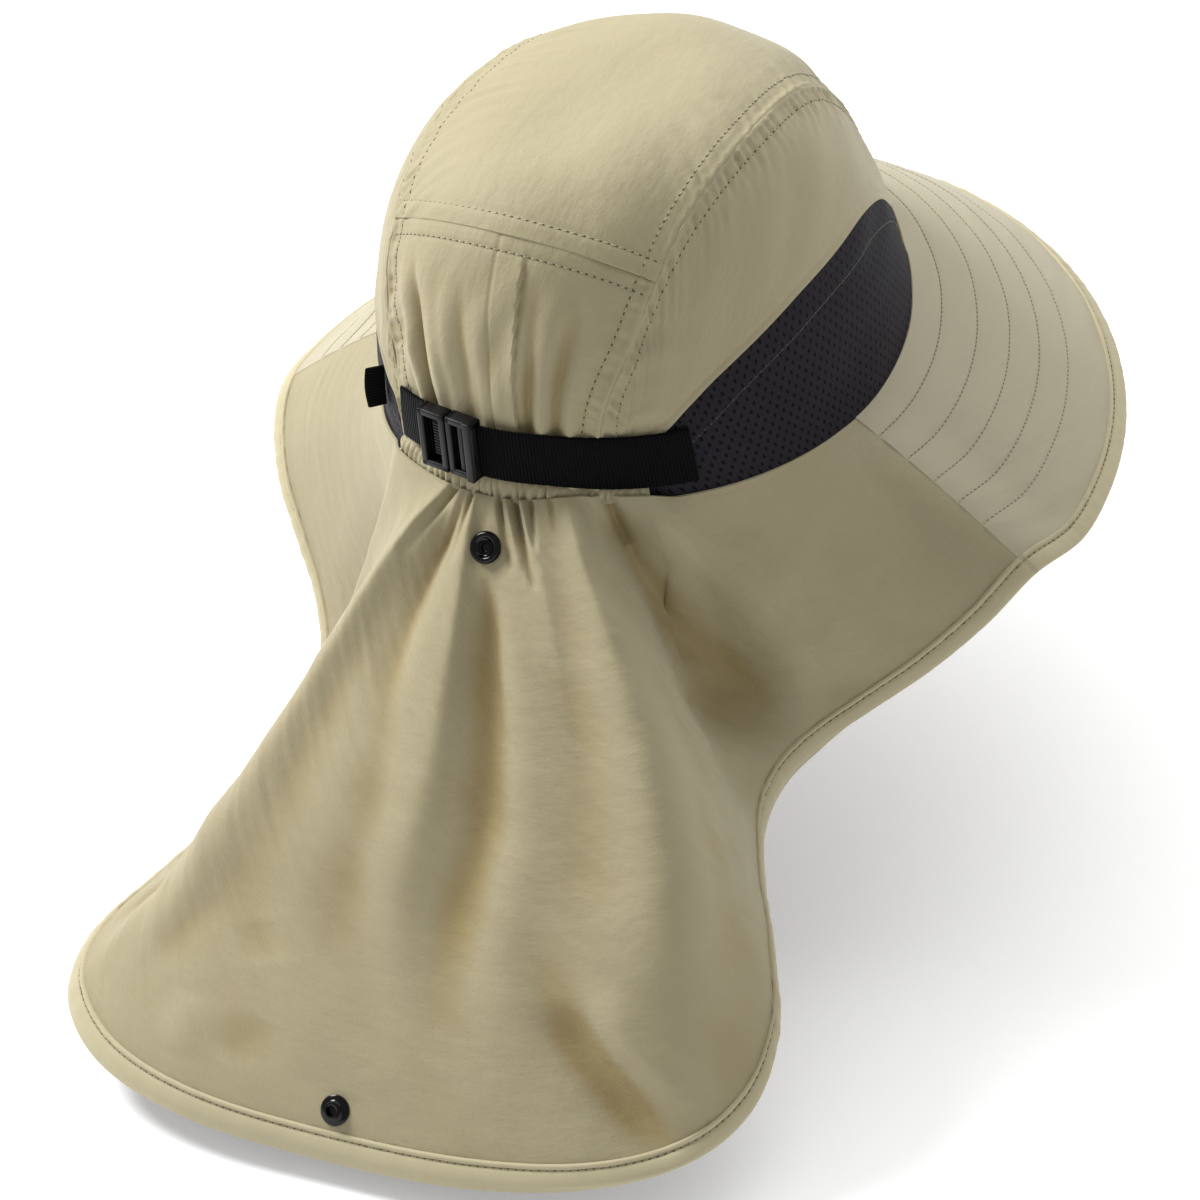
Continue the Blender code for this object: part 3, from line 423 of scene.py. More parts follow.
# Snaps: profile of the socket as share of its radius and height, then the stud's radius
# and height, from the axis at the cloth to the axis at the top
SOCKET_PROFILE = (
    (0.0, 0.0), (0.90, 0.0), (0.98, 0.0003), (1.0, 0.0008), (0.97, 0.0015), (0.90, 0.0021),
    (0.80, 0.0024), (0.68, 0.0023), (0.60, 0.0019), (0.54, 0.0014), (0.46, 0.0012), (0.40, 0.0013),
    (0.36, 0.0016), (0.29, 0.0016), (0.24, 0.0013), (0.20, 0.0008), (0.0, 0.0008),
)
STUD_PROFILE = (
    (0.0, 0.0), (0.0050, 0.0), (0.0053, 0.0002), (0.0053, 0.0005), (0.0050, 0.0008), (0.0040, 0.0010),
    (0.0034, 0.0013), (0.0029, 0.0017), (0.0027, 0.0021), (0.0029, 0.0026), (0.0030, 0.0030),
    (0.0028, 0.0034), (0.0023, 0.0036), (0.0018, 0.0034), (0.0016, 0.0028), (0.0015, 0.0018),
    (0.0, 0.0018),
)

# Section of the webbing as share up and out, and of the tab as share out and across
STRAP_PROFILE = (
    (0.0, 0.5), (0.015, 0.15), (0.05, 0.0), (0.30, 0.0), (0.70, 0.0), (0.95, 0.0), (0.985, 0.15),
    (1.0, 0.5), (0.985, 0.85), (0.95, 1.0), (0.75, 1.0), (0.5, 1.04), (0.25, 1.0), (0.05, 1.0),
    (0.015, 0.85),
)
TAB_PROFILE = ((0.0, 0.0), (0.5, 0.0), (0.9, 0.12), (1.0, 0.5), (0.9, 0.88), (0.5, 1.0), (0.0, 1.0))

BUCKLE_WALL = 0.0024
BUCKLE_RIBS = 11
STRAP_TUCK = 0.0040
STRAP_END_SIT = STRAP_LIFT + STRAP_SIT + 0.001


# Small helpers


def spline(rows, column, places):
    """Smooth curve through one column of a table, read at the given places."""
    table = np.asarray(rows, dtype=float)
    knots = table[:, 0]
    values = table[:, column]
    slopes = np.gradient(values, knots)
    places = np.clip(np.asarray(places, dtype=float), knots[0], knots[-1])
    index = np.clip(np.searchsorted(knots, places, side="right") - 1, 0, len(knots) - 2)
    span = knots[index + 1] - knots[index]
    share = (places - knots[index]) / span
    square = share * share
    cube = square * share
    return (
        values[index] * (2 * cube - 3 * square + 1)
        + values[index + 1] * (3 * square - 2 * cube)
        + slopes[index] * span * (cube - 2 * square + share)
        + slopes[index + 1] * span * (cube - square)
    )


def smooth_step(start, end, value):
    share = np.clip((value - start) / (end - start), 0.0, 1.0)
    return share * share * (3 - 2 * share)


def window(value, start, full, fade, end):
    """0 outside, 1 inside, with soft ends."""
    return smooth_step(start, full, value) * (1 - smooth_step(fade, end, value))


def bell(distance, width):
    return np.exp(-((distance / width) ** 2))


def unit(vectors):
    return vectors / np.maximum(np.linalg.norm(vectors, axis=-1, keepdims=True), 1e-12)


def run_along(path):
    """Distance of each point along a path."""
    return np.concatenate([[0.0], np.cumsum(np.linalg.norm(np.diff(path, axis=0), axis=-1))])


def at_run(path, run, place):
    """Point or direction of a path at a distance along it."""
    return np.array([np.interp(place, run, path[:, axis]) for axis in range(3)])


def matrix_of(axes, place):
    """Matrix with the given axes and place as its columns."""
    rows = np.eye(4)
    rows[:3] = np.stack([*axes, place], axis=1)
    return Matrix(rows.tolist())


def lifted(surface, first, second, lift):
    """Points of a surface moved along its own normal."""
    step = 1e-4
    along_first = surface(first + step, second) - surface(first - step, second)
    along_second = surface(first, second + step) - surface(first, second - step)
    normal = unit(np.cross(along_first, along_second))
    return surface(first, second) + normal * np.asarray(lift)[..., None]


RIPPLE_WAVES = 14


def ripples(across, along, length_across, length_along, seed):
    """Smooth random waves of about one unit, with the given wavelengths in metres."""
    draw = np.random.default_rng(seed)
    total = np.zeros(np.broadcast(across, along).shape)
    for _ in range(RIPPLE_WAVES):
        turn = draw.uniform(0, 2 * math.pi)
        grow = draw.uniform(0.6, 1.5)
        phase = draw.uniform(0, 2 * math.pi)
        wave = across * math.cos(turn) / length_across + along * math.sin(turn) / length_along
        total += np.sin(2 * math.pi * grow * wave + phase)
    return total / math.sqrt(RIPPLE_WAVES)


def even_and_dense(count):
    """Shares from 0 to 1 that lie closer together near both ends."""
    even = np.linspace(0.0, 1.0, count + 1)
    return (1 - np.cos(math.pi * even)) / 2 * 0.7 + even * 0.3


# Crown surface


HEIGHT_SHARES = np.linspace(0.0, 1.0, 4001)


def width_share(height_share):
    turn = height_share * math.pi / 2
    return (
        np.maximum(np.cos(turn), 0.0) ** CROWN_WIDTH_CURVE
        * (1 - CROWN_PINCH * np.sin(math.pi * height_share))
    )


WIDTH_SHARES = width_share(HEIGHT_SHARES)


def height_share_of(width):
    return np.interp(-np.asarray(width), -WIDTH_SHARES, HEIGHT_SHARES)


def base_height(angle):
    return BASE_FRONT_RISE * (1 + np.cos(angle)) / 2 - BASE_SIDE_DIP * np.sin(angle) ** 2


def crown_at(angle, height_share):
    """Point of the crown's outer face by angle in radians and share of the way up."""
    height_share = np.clip(height_share, 0.0, 1.0)
    width = width_share(height_share)
    rise = np.sin(height_share * math.pi / 2) ** CROWN_HEIGHT_CURVE
    length = np.where(np.cos(angle) > 0, CROWN_FRONT, CROWN_BACK)
    return np.stack([
        CROWN_HALF_WIDTH * width * np.sin(angle),
        -length * width * np.cos(angle) + CROWN_LEAN * rise,
        base_height(angle) * (1 - rise) + CROWN_HEIGHT * rise,
    ], axis=-1)


def crown_over(across, place):
    """Point of the crown by its share across and its place from front to back."""
    along = np.sqrt(np.maximum(1 - across ** 2, 0.0)) * np.sin(place * math.pi / 2)
    return crown_at(np.arctan2(across, -along), height_share_of(np.hypot(across, along)))


def crown_lift(angle, height, lift):
    angle, height, lift = np.broadcast_arrays(angle, height, lift)
    return lifted(crown_at, angle, height, lift)


def share_for_rise(rise):
    return np.arcsin((rise / CROWN_HEIGHT) ** (1 / CROWN_HEIGHT_CURVE)) * 2 / math.pi


def strip_edge(place, side):
    """Share across the crown of the centre strip's seam; side is -1 right or 1 left."""
    half = spline(STRIP_ROWS, 1 if side < 0 else 2, place) * STRIP_HALF_WIDTH
    return side * half / CROWN_HALF_WIDTH


def back_foot_place():
    width = width_share(share_for_rise(BACK_FOOT_RISE))
    across = strip_edge(1.0, -1)
    along = math.sqrt(width ** 2 - across ** 2)
    return math.asin(along / math.sqrt(1 - across ** 2)) * 2 / math.pi


def mesh_back_angle(side):
    return side * math.radians(MESH_BACK_ANGLE + (MESH_LEFT_TURN if side > 0 else 0.0))


def mesh_edge_curve(side, count):
    """Angles and height shares along a mesh band's upper edge, from front to back."""
    knots = np.linspace(0.0, 1.0, len(MESH_EDGE))
    table = [(knot, *row) for knot, row in zip(knots, MESH_EDGE)]
    places = np.linspace(0.0, 1.0, count)
    angle = spline(table, 1, places)
    if side > 0:
        angle = angle + MESH_LEFT_TURN * smooth_step(MESH_EDGE[3][0], MESH_EDGE[-1][0], angle)
    height = spline(table, 2, places) * MESH_RISE / CROWN_HEIGHT * 2 / math.pi
    return side * np.radians(angle), height


# Skirt surface: brim and flap, sections 0 to 28 the flap from right to left and 28 to 48
# the brim from left to right


FLAP_SECTIONS = len(FLAP_ROWS) - 1
BRIM_SECTIONS = 20
ALL_SECTIONS = 2 * FLAP_SECTIONS + BRIM_SECTIONS


def brim_rim(angle):
    side = BRIM_SIDE_REACH * (BRIM_LEFT_SHARE if angle > 0 else 1.0)
    return (
        (CROWN_HALF_WIDTH + side) * math.sin(angle),
        -(CROWN_FRONT + BRIM_FRONT_REACH) * math.cos(angle),
        -(BRIM_FRONT_DROP * math.cos(angle) ** 2 + BRIM_SIDE_DROP * math.sin(angle) ** 2),
    )


def flap_rim(row, side):
    word = "right" if side < 0 else "left"
    out, back, drop = (row[FLAP_COLUMNS.index(f"{word}_{name}")]
                       for name in ("out", "back", "drop"))
    return (side * out * FLAP_HALF_WIDTH, back * FLAP_REACH, -drop * FLAP_DROP)


def rim_table():
    """Rows for the whole rim: section, rim point, crown angle and swell."""
    rows = []
    for index, row in enumerate(FLAP_ROWS):
        rows.append((index, *flap_rim(row, -1), -row[0], row[-2]))
    for index, row in enumerate(reversed(FLAP_ROWS[:-1])):
        rows.append((FLAP_SECTIONS + 1 + index, *flap_rim(row, 1), row[0] - 360.0, row[-1]))
    for index in range(1, BRIM_SECTIONS):
        angle = BRIM_END_ANGLE * (1 - 2 * index / BRIM_SECTIONS)
        rim = brim_rim(math.radians(angle))
        rows.append((2 * FLAP_SECTIONS + index, *rim, angle - 360.0, 0.0))
    turned = [(row[0] + ALL_SECTIONS, *row[1:4], row[4] - 360.0, row[5]) for row in rows[:4]]
    rows.append(turned[0])
    before = [(row[0] - ALL_SECTIONS, *row[1:4], row[4] + 360.0, row[5]) for row in rows[-4:-1]]
    return np.array(before + rows + turned[1:])


RIM = rim_table()


def casing_lower_edge(angle):
    away = angle - math.radians(CASING_HUMP_ANGLE)
    away = np.degrees(np.arctan2(np.sin(away), np.cos(away)))
    hump = CASING_HUMP * bell(away, CASING_HUMP_WIDTH)
    return CASING_RISE - CASING_HEIGHT / 2 + hump


def skirt_foot(angle):
    """Where the skirt starts: beside the crown's foot, and under the casing at the back."""
    turn = np.degrees(np.arctan2(np.sin(angle), np.cos(angle)))
    end = MESH_BACK_ANGLE + np.where(turn > 0, MESH_LEFT_TURN, 0.0)
    back = smooth_step(end - CASING_TAPER, end + 1.0, np.abs(turn))
    past_casing = CASING_THICKNESS * CASING_LAP_OUT + FLAP_THICKNESS / 2 + CASING_GATHER
    out = FOOT_CLEAR + past_casing * back
    length = np.where(np.cos(angle) > 0, CROWN_FRONT, CROWN_BACK) + out
    beside = base_height(angle) + BRIM_THICKNESS / 2
    under = casing_lower_edge(angle) + CASING_HEIGHT * CASING_LAP
    return np.stack([
        (CROWN_HALF_WIDTH + out) * np.sin(angle),
        -length * np.cos(angle),
        beside + (under - beside) * back,
    ], axis=-1)


def skirt_plain(section, down):
    """Skirt without its folds, by section and share of the way from crown to rim."""
    rim = np.stack([spline(RIM, column, section) for column in (1, 2, 3)], axis=-1)
    foot = skirt_foot(np.radians(spline(RIM, 4, section)))
    return foot + (rim - foot) * down[..., None]


def skirt_length(section):
    """Length of the straight line from the crown to the rim at a section."""
    section = np.asarray(section, dtype=float)
    rim, foot = (skirt_plain(section, np.full_like(section, share)) for share in (1.0, 0.0))
    return np.linalg.norm(rim - foot, axis=-1)


SOCKET_PLACE = SOCKET_DROP / skirt_length(SOCKET_SECTION)
STUD_INWARD = RIM_WIDTH + RIM_CLEAR + STUD_FLANGE / 2 + STUD_MARGIN
STUD_PLACE = 1 - STUD_INWARD / skirt_length(STUD_SECTION)


def section_width(down):
    return SECTION_WIDTH_TOP + SECTION_WIDTH_GAIN * down


def crease_lift(section, down):
    """Small creases, measured in metres on the flap laid flat."""
    width = section_width(down)
    total = np.zeros_like(section)
    for top, start, foot, end, depth, half in CREASE_ROWS:
        across = (foot - top) * section_width((start + end) / 2)
        reach = (end - start) * FLAP_LENGTH
        size = math.hypot(across, reach)
        along = ((section - top) * width * across + (down - start) * FLAP_LENGTH * reach) / size ** 2
        nearest = np.clip(along, 0.0, 1.0)
        side = (section - top - (foot - top) * nearest) * width
        past = (along - nearest) * size
        if start == 0:
            fade = (1 - nearest) ** 0.5
        else:
            fade = np.sin(math.pi * np.clip(nearest, 0.02, 0.98)) ** 0.5
        total += depth * bell(side, half) * bell(past, half * 2) * fade
    return total


def line_fold_lift(section, down):
    """Folds along lines, crisp at the casing and softer towards the rim."""
    crisp = 1.35 + 0.65 * np.clip(down * 1.6, 0.0, 1.0)
    total = np.zeros_like(section)
    for depth, right_width, left_width, line in LINE_FOLDS:
        table = [(share, place) for place, share in line]
        away = section - spline(table, 1, down)
        width = np.where(away < 0, right_width, left_width)
        shape = np.exp(-((np.sqrt(away ** 2 + 0.0016) / width) ** crisp))
        top, foot = table[0][0], table[-1][0]
        if top < 0.1:
            grow = smooth_step(-0.03, 0.09, down)
        else:
            grow = smooth_step(top, top + 0.3 * (foot - top), down)
        fade = 1 - smooth_step(foot - 0.35 * (foot - top), foot + 0.02, down)
        total += depth * shape * grow * fade
    return total


def skirt_swell(section, down):
    """How far the skirt stands out from straight lines between crown and rim."""
    brim_start = 2 * FLAP_SECTIONS
    in_brim = window(section, brim_start, brim_start + 2, ALL_SECTIONS - 2, ALL_SECTIONS)
    arch = np.sin(math.pi * np.clip(down, 0, 1))
    swell = spline(RIM, 5, section) * FLAP_SWELL * (1 - in_brim) + BRIM_CROWN * in_brim
    depth = swell * arch
    for top, foot, depth_share, width, start, end in FOLD_ROWS:
        centre = top + (foot - top) * down
        span = end - start
        grow = smooth_step(start, start + 0.4 * span, down)
        fade = 1 - smooth_step(start + 0.65 * span, end, down)
        depth = depth + FLAP_FOLD * depth_share * bell(section - centre, width) * grow * fade
    on_flap = window(section, 0.0, 1.5, 26.5, 28.0)
    return (depth + line_fold_lift(section, down) * on_flap) * (1 - snap_calm(section, down))


def snap_calm(section, down):
    """1 on the snaps' seats and 0 away from them."""
    calm = bell(section - SOCKET_SECTION, SNAP_CALM) * bell(down - SOCKET_PLACE, SNAP_CALM / 10)
    calm = calm + bell(section - STUD_SECTION, SNAP_CALM) * bell(down - STUD_PLACE, SNAP_CALM / 10)
    return np.clip(calm, 0.0, 1.0)


def flap_detail(section, down):
    """Creases and soft waves of the flap's cloth, none on the brim."""
    on_flap = window(section, 0.0, 0.8, 27.2, 28.0)
    across = section * section_width(down)
    along = down * FLAP_LENGTH
    middle = np.sin(math.pi * np.clip(down, 0, 1)) ** 0.5
    open_cloth = window(section, 1.0, 4.0, 17.5, 20.0)
    waves = np.zeros_like(across)
    for calm, added, wide, long, seed in FLAP_WAVES:
        waves = waves + (calm + added * open_cloth) * ripples(across, along, wide, long, seed)
    seat = 1 - bell(section - SOCKET_SECTION, 0.5) * bell(down - SOCKET_PLACE, 0.035)
    seat = seat * (1 - bell(section - STUD_SECTION, 0.3) * bell(down - STUD_PLACE, 0.03))
    return (crease_lift(section, down) + waves * middle) * on_flap * seat


def skirt(section, down, lift=0.0):
    """Point of the skirt's middle surface, lifted outward and upward."""
    section, down = np.broadcast_arrays(np.asarray(section, float), np.asarray(down, float))
    swell = skirt_swell(section, down) + flap_detail(section, down)
    return lifted(skirt_plain, section, down, swell + lift)


# Meshes


def mesh_of(name, points, faces, turn_outward=False):
    mesh = bpy.data.meshes.new(name)
    mesh.from_pydata(points, [], faces)
    if turn_outward:
        body = bmesh.new()
        body.from_mesh(mesh)
        bmesh.ops.recalc_face_normals(body, faces=body.faces)
        body.to_mesh(mesh)
        body.free()
    return mesh


def link(name, mesh, material, smooth_angle=50.0):
    for item in material if isinstance(material, (list, tuple)) else (material,):
        mesh.materials.append(item)
    mesh.shade_smooth()
    mesh.set_sharp_from_angle(angle=math.radians(smooth_angle))
    piece = bpy.data.objects.new(name, mesh)
    bpy.context.scene.collection.objects.link(piece)
    return piece


class Sheet:
    """A grid of points with its normals and the distance from each of its four edges."""

    def __init__(self, points, centre=None):
        self.base = points
        self.normal = self.normals_of(points)
        if centre is not None and np.sum(self.normal * (points - centre)) < 0:
            self.normal = -self.normal
        rows = np.linalg.norm(np.diff(points, axis=0), axis=-1)
        columns = np.linalg.norm(np.diff(points, axis=1), axis=-1)
        self.row_start = np.concatenate([np.zeros((1, points.shape[1])), np.cumsum(rows, axis=0)])
        self.row_end = self.row_start[-1:] - self.row_start
        first = np.zeros((points.shape[0], 1))
        self.column_start = np.concatenate([first, np.cumsum(columns, axis=1)], axis=1)
        self.column_end = self.column_start[:, -1:] - self.column_start
        self.outer = points
        self.sink = 0.0
        # Mask of the painted shade in the cloth's valleys, where a sheet has one
        self.painted_shade_mask = None

    @staticmethod
    def normals_of(points):
        return unit(np.cross(np.gradient(points, axis=0), np.gradient(points, axis=1)))

    def waves(self, name, seed_shift=0):
        """Waves over the sheet from a row of WAVES."""
        height, across, along, seed = WAVES[name]
        return height * ripples(self.column_start, self.row_start, across, along, seed + seed_shift)

    def raise_by(self, lift):
        self.outer = self.base + self.normal * lift[..., None]

    def row_at(self, distances, value, over_rows=False):
        """Line on the sheet where one of its distances has a value, with its normals."""
        points = self.outer if not over_rows else self.outer.swapaxes(0, 1)
        normals = self.normal if not over_rows else self.normal.swapaxes(0, 1)
        lines = distances if not over_rows else distances.swapaxes(0, 1)
        path = []
        facing = []
        for line, point, normal in zip(lines, points, normals):
            if line[0] > line[-1]:
                line, point, normal = line[::-1], point[::-1], normal[::-1]
            if line[-1] < value:
                continue
            path.append([np.interp(value, line, point[:, axis]) for axis in range(3)])
            facing.append([np.interp(value, line, normal[:, axis]) for axis in range(3)])
        return np.array(path), unit(np.array(facing))


def grid_faces(rows, columns):
    index = np.arange(rows * columns).reshape(rows, columns)
    corners = (index[1:, :-1], index[1:, 1:], index[:-1, 1:], index[:-1, :-1])
    return np.stack([corner.reshape(-1) for corner in corners], axis=1)


def border_of(rows, columns):
    index = np.arange(rows * columns).reshape(rows, columns)
    return np.concatenate([index[0, :], index[1:, -1], index[-1, -2::-1], index[-2:0:-1, 0]])


def add_cloth(name, sheet, thickness, materials, thin=2):
    """Cloth with a fine outer face, a coarser inner face and a rolled edge between them."""
    outer = sheet.outer
    rows, columns = outer.shape[:2]
    inner_full = outer - sheet.normal * (thickness + np.asarray(sheet.sink)[..., None])
    keep_rows = np.unique(np.r_[np.arange(0, rows, thin), rows - 1])
    keep_columns = np.unique(np.r_[np.arange(0, columns, thin), columns - 1])
    kept = np.zeros((rows, columns), dtype=bool)
    kept[np.ix_(keep_rows, keep_columns)] = True
    border = border_of(rows, columns)
    kept.reshape(-1)[border] = True
    fine_count = rows * columns
    number = np.full((rows, columns), -1)
    number[kept] = np.arange(kept.sum()) + fine_count
    flat = outer.reshape(-1, 3)
    under = number.reshape(-1)[border]
    middle = (flat[border] + inner_full.reshape(-1, 3)[border]) / 2
    middle = middle + edge_outward(outer, border) * thickness * 0.35
    points = np.concatenate([flat, inner_full[kept], middle])
    middle_start = fine_count + int(kept.sum())
    faces = grid_faces(rows, columns).tolist()
    fine_faces = len(faces)
    faces += inner_faces(number, keep_rows, keep_columns)
    inner_end = len(faces)
    ring = np.arange(len(border)) + middle_start
    after = np.roll(np.arange(len(border)), -1)
    for low, high in ((border, ring), (ring, under)):
        faces += np.stack([low, high, high[after], low[after]], axis=1).tolist()
    facing = np.cross(flat[columns] - flat[0], flat[1] - flat[0]) @ sheet.normal.reshape(-1, 3)[0]
    if facing < 0:
        faces = [face[::-1] for face in faces]
    mesh = mesh_of(name, points.tolist(), faces)
    slots = np.zeros(len(faces), dtype=np.int32)
    slots[fine_faces:inner_end] = len(materials) - 1

    def at_vertices(values):
        return np.concatenate([values.reshape(-1), values[kept], values.reshape(-1)[border]])

    put_uv(mesh, at_vertices(sheet.column_start), at_vertices(sheet.row_start))
    # The mask of the painted shade becomes an attribute that the material reads
    if sheet.painted_shade_mask is not None:
        painted_shade = mesh.attributes.new("painted_shade", "FLOAT", "POINT")
        painted_shade.data.foreach_set("value", at_vertices(sheet.painted_shade_mask).astype(np.float32))
    mesh.polygons.foreach_set("material_index", slots)
    return link(name, mesh, materials)


def shifted(values, reach, down, across):
    """The grid moved by some cells, with its edge values repeated."""
    padded = np.pad(values, reach, mode="edge")
    rows, columns = values.shape
    return padded[reach + down:reach + down + rows, reach + across:reach + across + columns]


def hollow_shade_mask(lift, reach, full):
    """0 to 1: how far each point lies below the mean of its surroundings; the mask of the painted shade in
    the cloth's valleys.
    """
    steps = [(down * size, across * size) for size in (reach // 2, reach)
             for down in (-1, 0, 1) for across in (-1, 0, 1) if (down, across) != (0, 0)]
    total = sum(shifted(lift, reach, *step) for step in steps)
    return np.clip((total / len(steps) - lift) / full, 0.0, 1.0)


def lowest_near(lift, reach):
    """Lowest lift within some cells of each point."""
    low = lift.copy()
    for step in range(-reach, reach + 1):
        low = np.minimum(low, shifted(lift, reach, step, 0))
    wide = low.copy()
    for step in range(-reach, reach + 1):
        wide = np.minimum(wide, shifted(low, reach, 0, step))
    return wide


def inner_faces(number, keep_rows, keep_columns):
    """Faces of the coarser inner grid, which take in every point of the fine border."""
    last_row, last_column = number.shape[0] - 1, number.shape[1] - 1
    faces = []
    for top, foot in zip(keep_rows, keep_rows[1:]):
        for left, right in zip(keep_columns, keep_columns[1:]):
            upper = number[top, left:right + 1] if top == 0 else number[top, [left, right]]
            lower = number[foot, left:right + 1] if foot == last_row else number[foot, [left, right]]
            near = number[top:foot + 1, left] if left == 0 else number[[top, foot], left]
            far = number[top:foot + 1, right] if right == last_column else number[[top, foot], right]
            faces.append([*upper, *far[1:], *lower[::-1][1:], *near[::-1][1:-1]])
    return [[int(corner) for corner in face] for face in faces]


def edge_outward(points, border):
    """Directions that point away from the sheet along its edge."""
    along_rows = unit(np.gradient(points, axis=0))
    along_columns = unit(np.gradient(points, axis=1))
    out = np.zeros_like(points)
    out[0] -= along_rows[0]
    out[-1] += along_rows[-1]
    out[:, 0] -= along_columns[:, 0]
    out[:, -1] += along_columns[:, -1]
    return unit(out.reshape(-1, 3)[border])


def put_uv(mesh, u, v):
    """UV map in metres along the cloth, from values at the vertices."""
    layer = mesh.uv_layers.new(name="cloth")
    index = np.zeros(len(mesh.loops), dtype=np.int32)
    mesh.loops.foreach_get("vertex_index", index)
    layer.data.foreach_set("uv", np.stack([u[index], v[index]], axis=1).reshape(-1).astype(np.float32))


def add_tube(name, rings, material, closed=False, smooth_angle=50.0):
    """Solid through a row of closed rings with the same number of points."""
    count, sides = rings.shape[:2]
    here = np.arange(count if closed else count - 1)[:, None] * sides
    there = (np.arange(1, count + (1 if closed else 0)) % count)[:, None] * sides
    side = np.arange(sides)[None, :]
    after = (side + 1) % sides
    faces = np.stack([here + side, here + after, there + after, there + side], axis=-1)
    faces = faces.reshape(-1, 4).tolist()
    if not closed:
        faces.append(list(range(sides - 1, -1, -1)))
        faces.append([(count - 1) * sides + index for index in range(sides)])
    mesh = mesh_of(name, rings.reshape(-1, 3).tolist(), faces, turn_outward=True)
    round_ring = np.linalg.norm(np.roll(rings, -1, axis=1) - rings, axis=-1)
    girth = np.cumsum(round_ring, axis=1) - round_ring
    put_uv(mesh, girth.reshape(-1), np.repeat(run_along(rings.mean(axis=1)), sides))
    return link(name, mesh, material, smooth_angle)


# Stitches


STITCH_SIDES = 6
STITCH_PROFILE = ((-0.5, 0.30, -0.9), (-0.40, 0.85, -0.15), (-0.15, 1.0, 0.45),
                  (0.15, 1.0, 0.45), (0.40, 0.85, -0.15), (0.5, 0.30, -0.9))


def stitches(path, normals, pitch, length, width=STITCH_WIDTH):
    """Points of the threads of one row, ring by ring."""
    run = run_along(path)
    count = max(int(run[-1] / pitch), 1)
    turns = np.linspace(0, 2 * math.pi, STITCH_SIDES, endpoint=False)
    points = []
    for centre in (np.arange(count) + 0.5) * run[-1] / count:
        rings = []
        for place, size, height in STITCH_PROFILE:
            at = centre + place * length
            normal = unit(at_run(normals, run, at))
            ahead = at_run(path, run, at + pitch / 4) - at_run(path, run, at - pitch / 4)
            across = unit(np.cross(normal, ahead))
            middle = at_run(path, run, at) + normal * height * width * 0.5
            rings.append([
                middle + (across * math.cos(turn) + normal * 0.8 * math.sin(turn)) * width / 2 * size
                for turn in turns
            ])
        points.append(rings)
    return np.array(points)


def needle_hole_shades(path, normals, pitch):
    """Small dark dimples where the threads of a row meet, painted dark as the shade in the needle holes."""
    run = run_along(path)
    half = run[-1] / max(int(run[-1] / pitch), 1) / 2
    keep = (run >= half) & (run <= run[-1] - half)
    start, facing = (at_run(line, run, half)[None] for line in (path, normals))
    normals = np.concatenate([facing, normals[keep]])
    path = np.concatenate([start, path[keep]]) + HOLE_LIFT * normals
    return stitches(path, normals, pitch, HOLE_LENGTH, HOLE_WIDTH)


def add_row_pieces(name, slot, rows, thread, hole, pitch=STITCH_PITCH):
    """Threads and the painted shade of the needle holes of several rows, each as one piece."""
    threads = [stitches(*row, pitch, pitch * THREAD_SHARE) for row in rows]
    settle(add_stitches(name + "_stitches", threads, thread), slot)
    holes = [needle_hole_shades(*row, pitch) for row in rows]
    settle(add_stitches(name + "_needle_hole_shades", holes, hole), slot)


def add_stitches(name, rows, material):
    """One piece from the threads of several rows."""
    points = np.concatenate([row.reshape(-1, 3) for row in rows])
    ring = np.arange(len(STITCH_PROFILE) - 1)[:, None] * STITCH_SIDES
    side = np.arange(STITCH_SIDES)[None, :]
    after = (side + 1) % STITCH_SIDES
    above = ring + STITCH_SIDES
    faces = np.stack([ring + side, ring + after, above + after, above + side], axis=-1).reshape(-1, 4)
    each = len(STITCH_PROFILE) * STITCH_SIDES
    starts = np.arange(len(points) // each)[:, None, None] * each
    mesh = mesh_of(name, points.tolist(), (faces[None] + starts).reshape(-1, 4).tolist())
    return link(name, mesh, material, 80.0)


# Materials


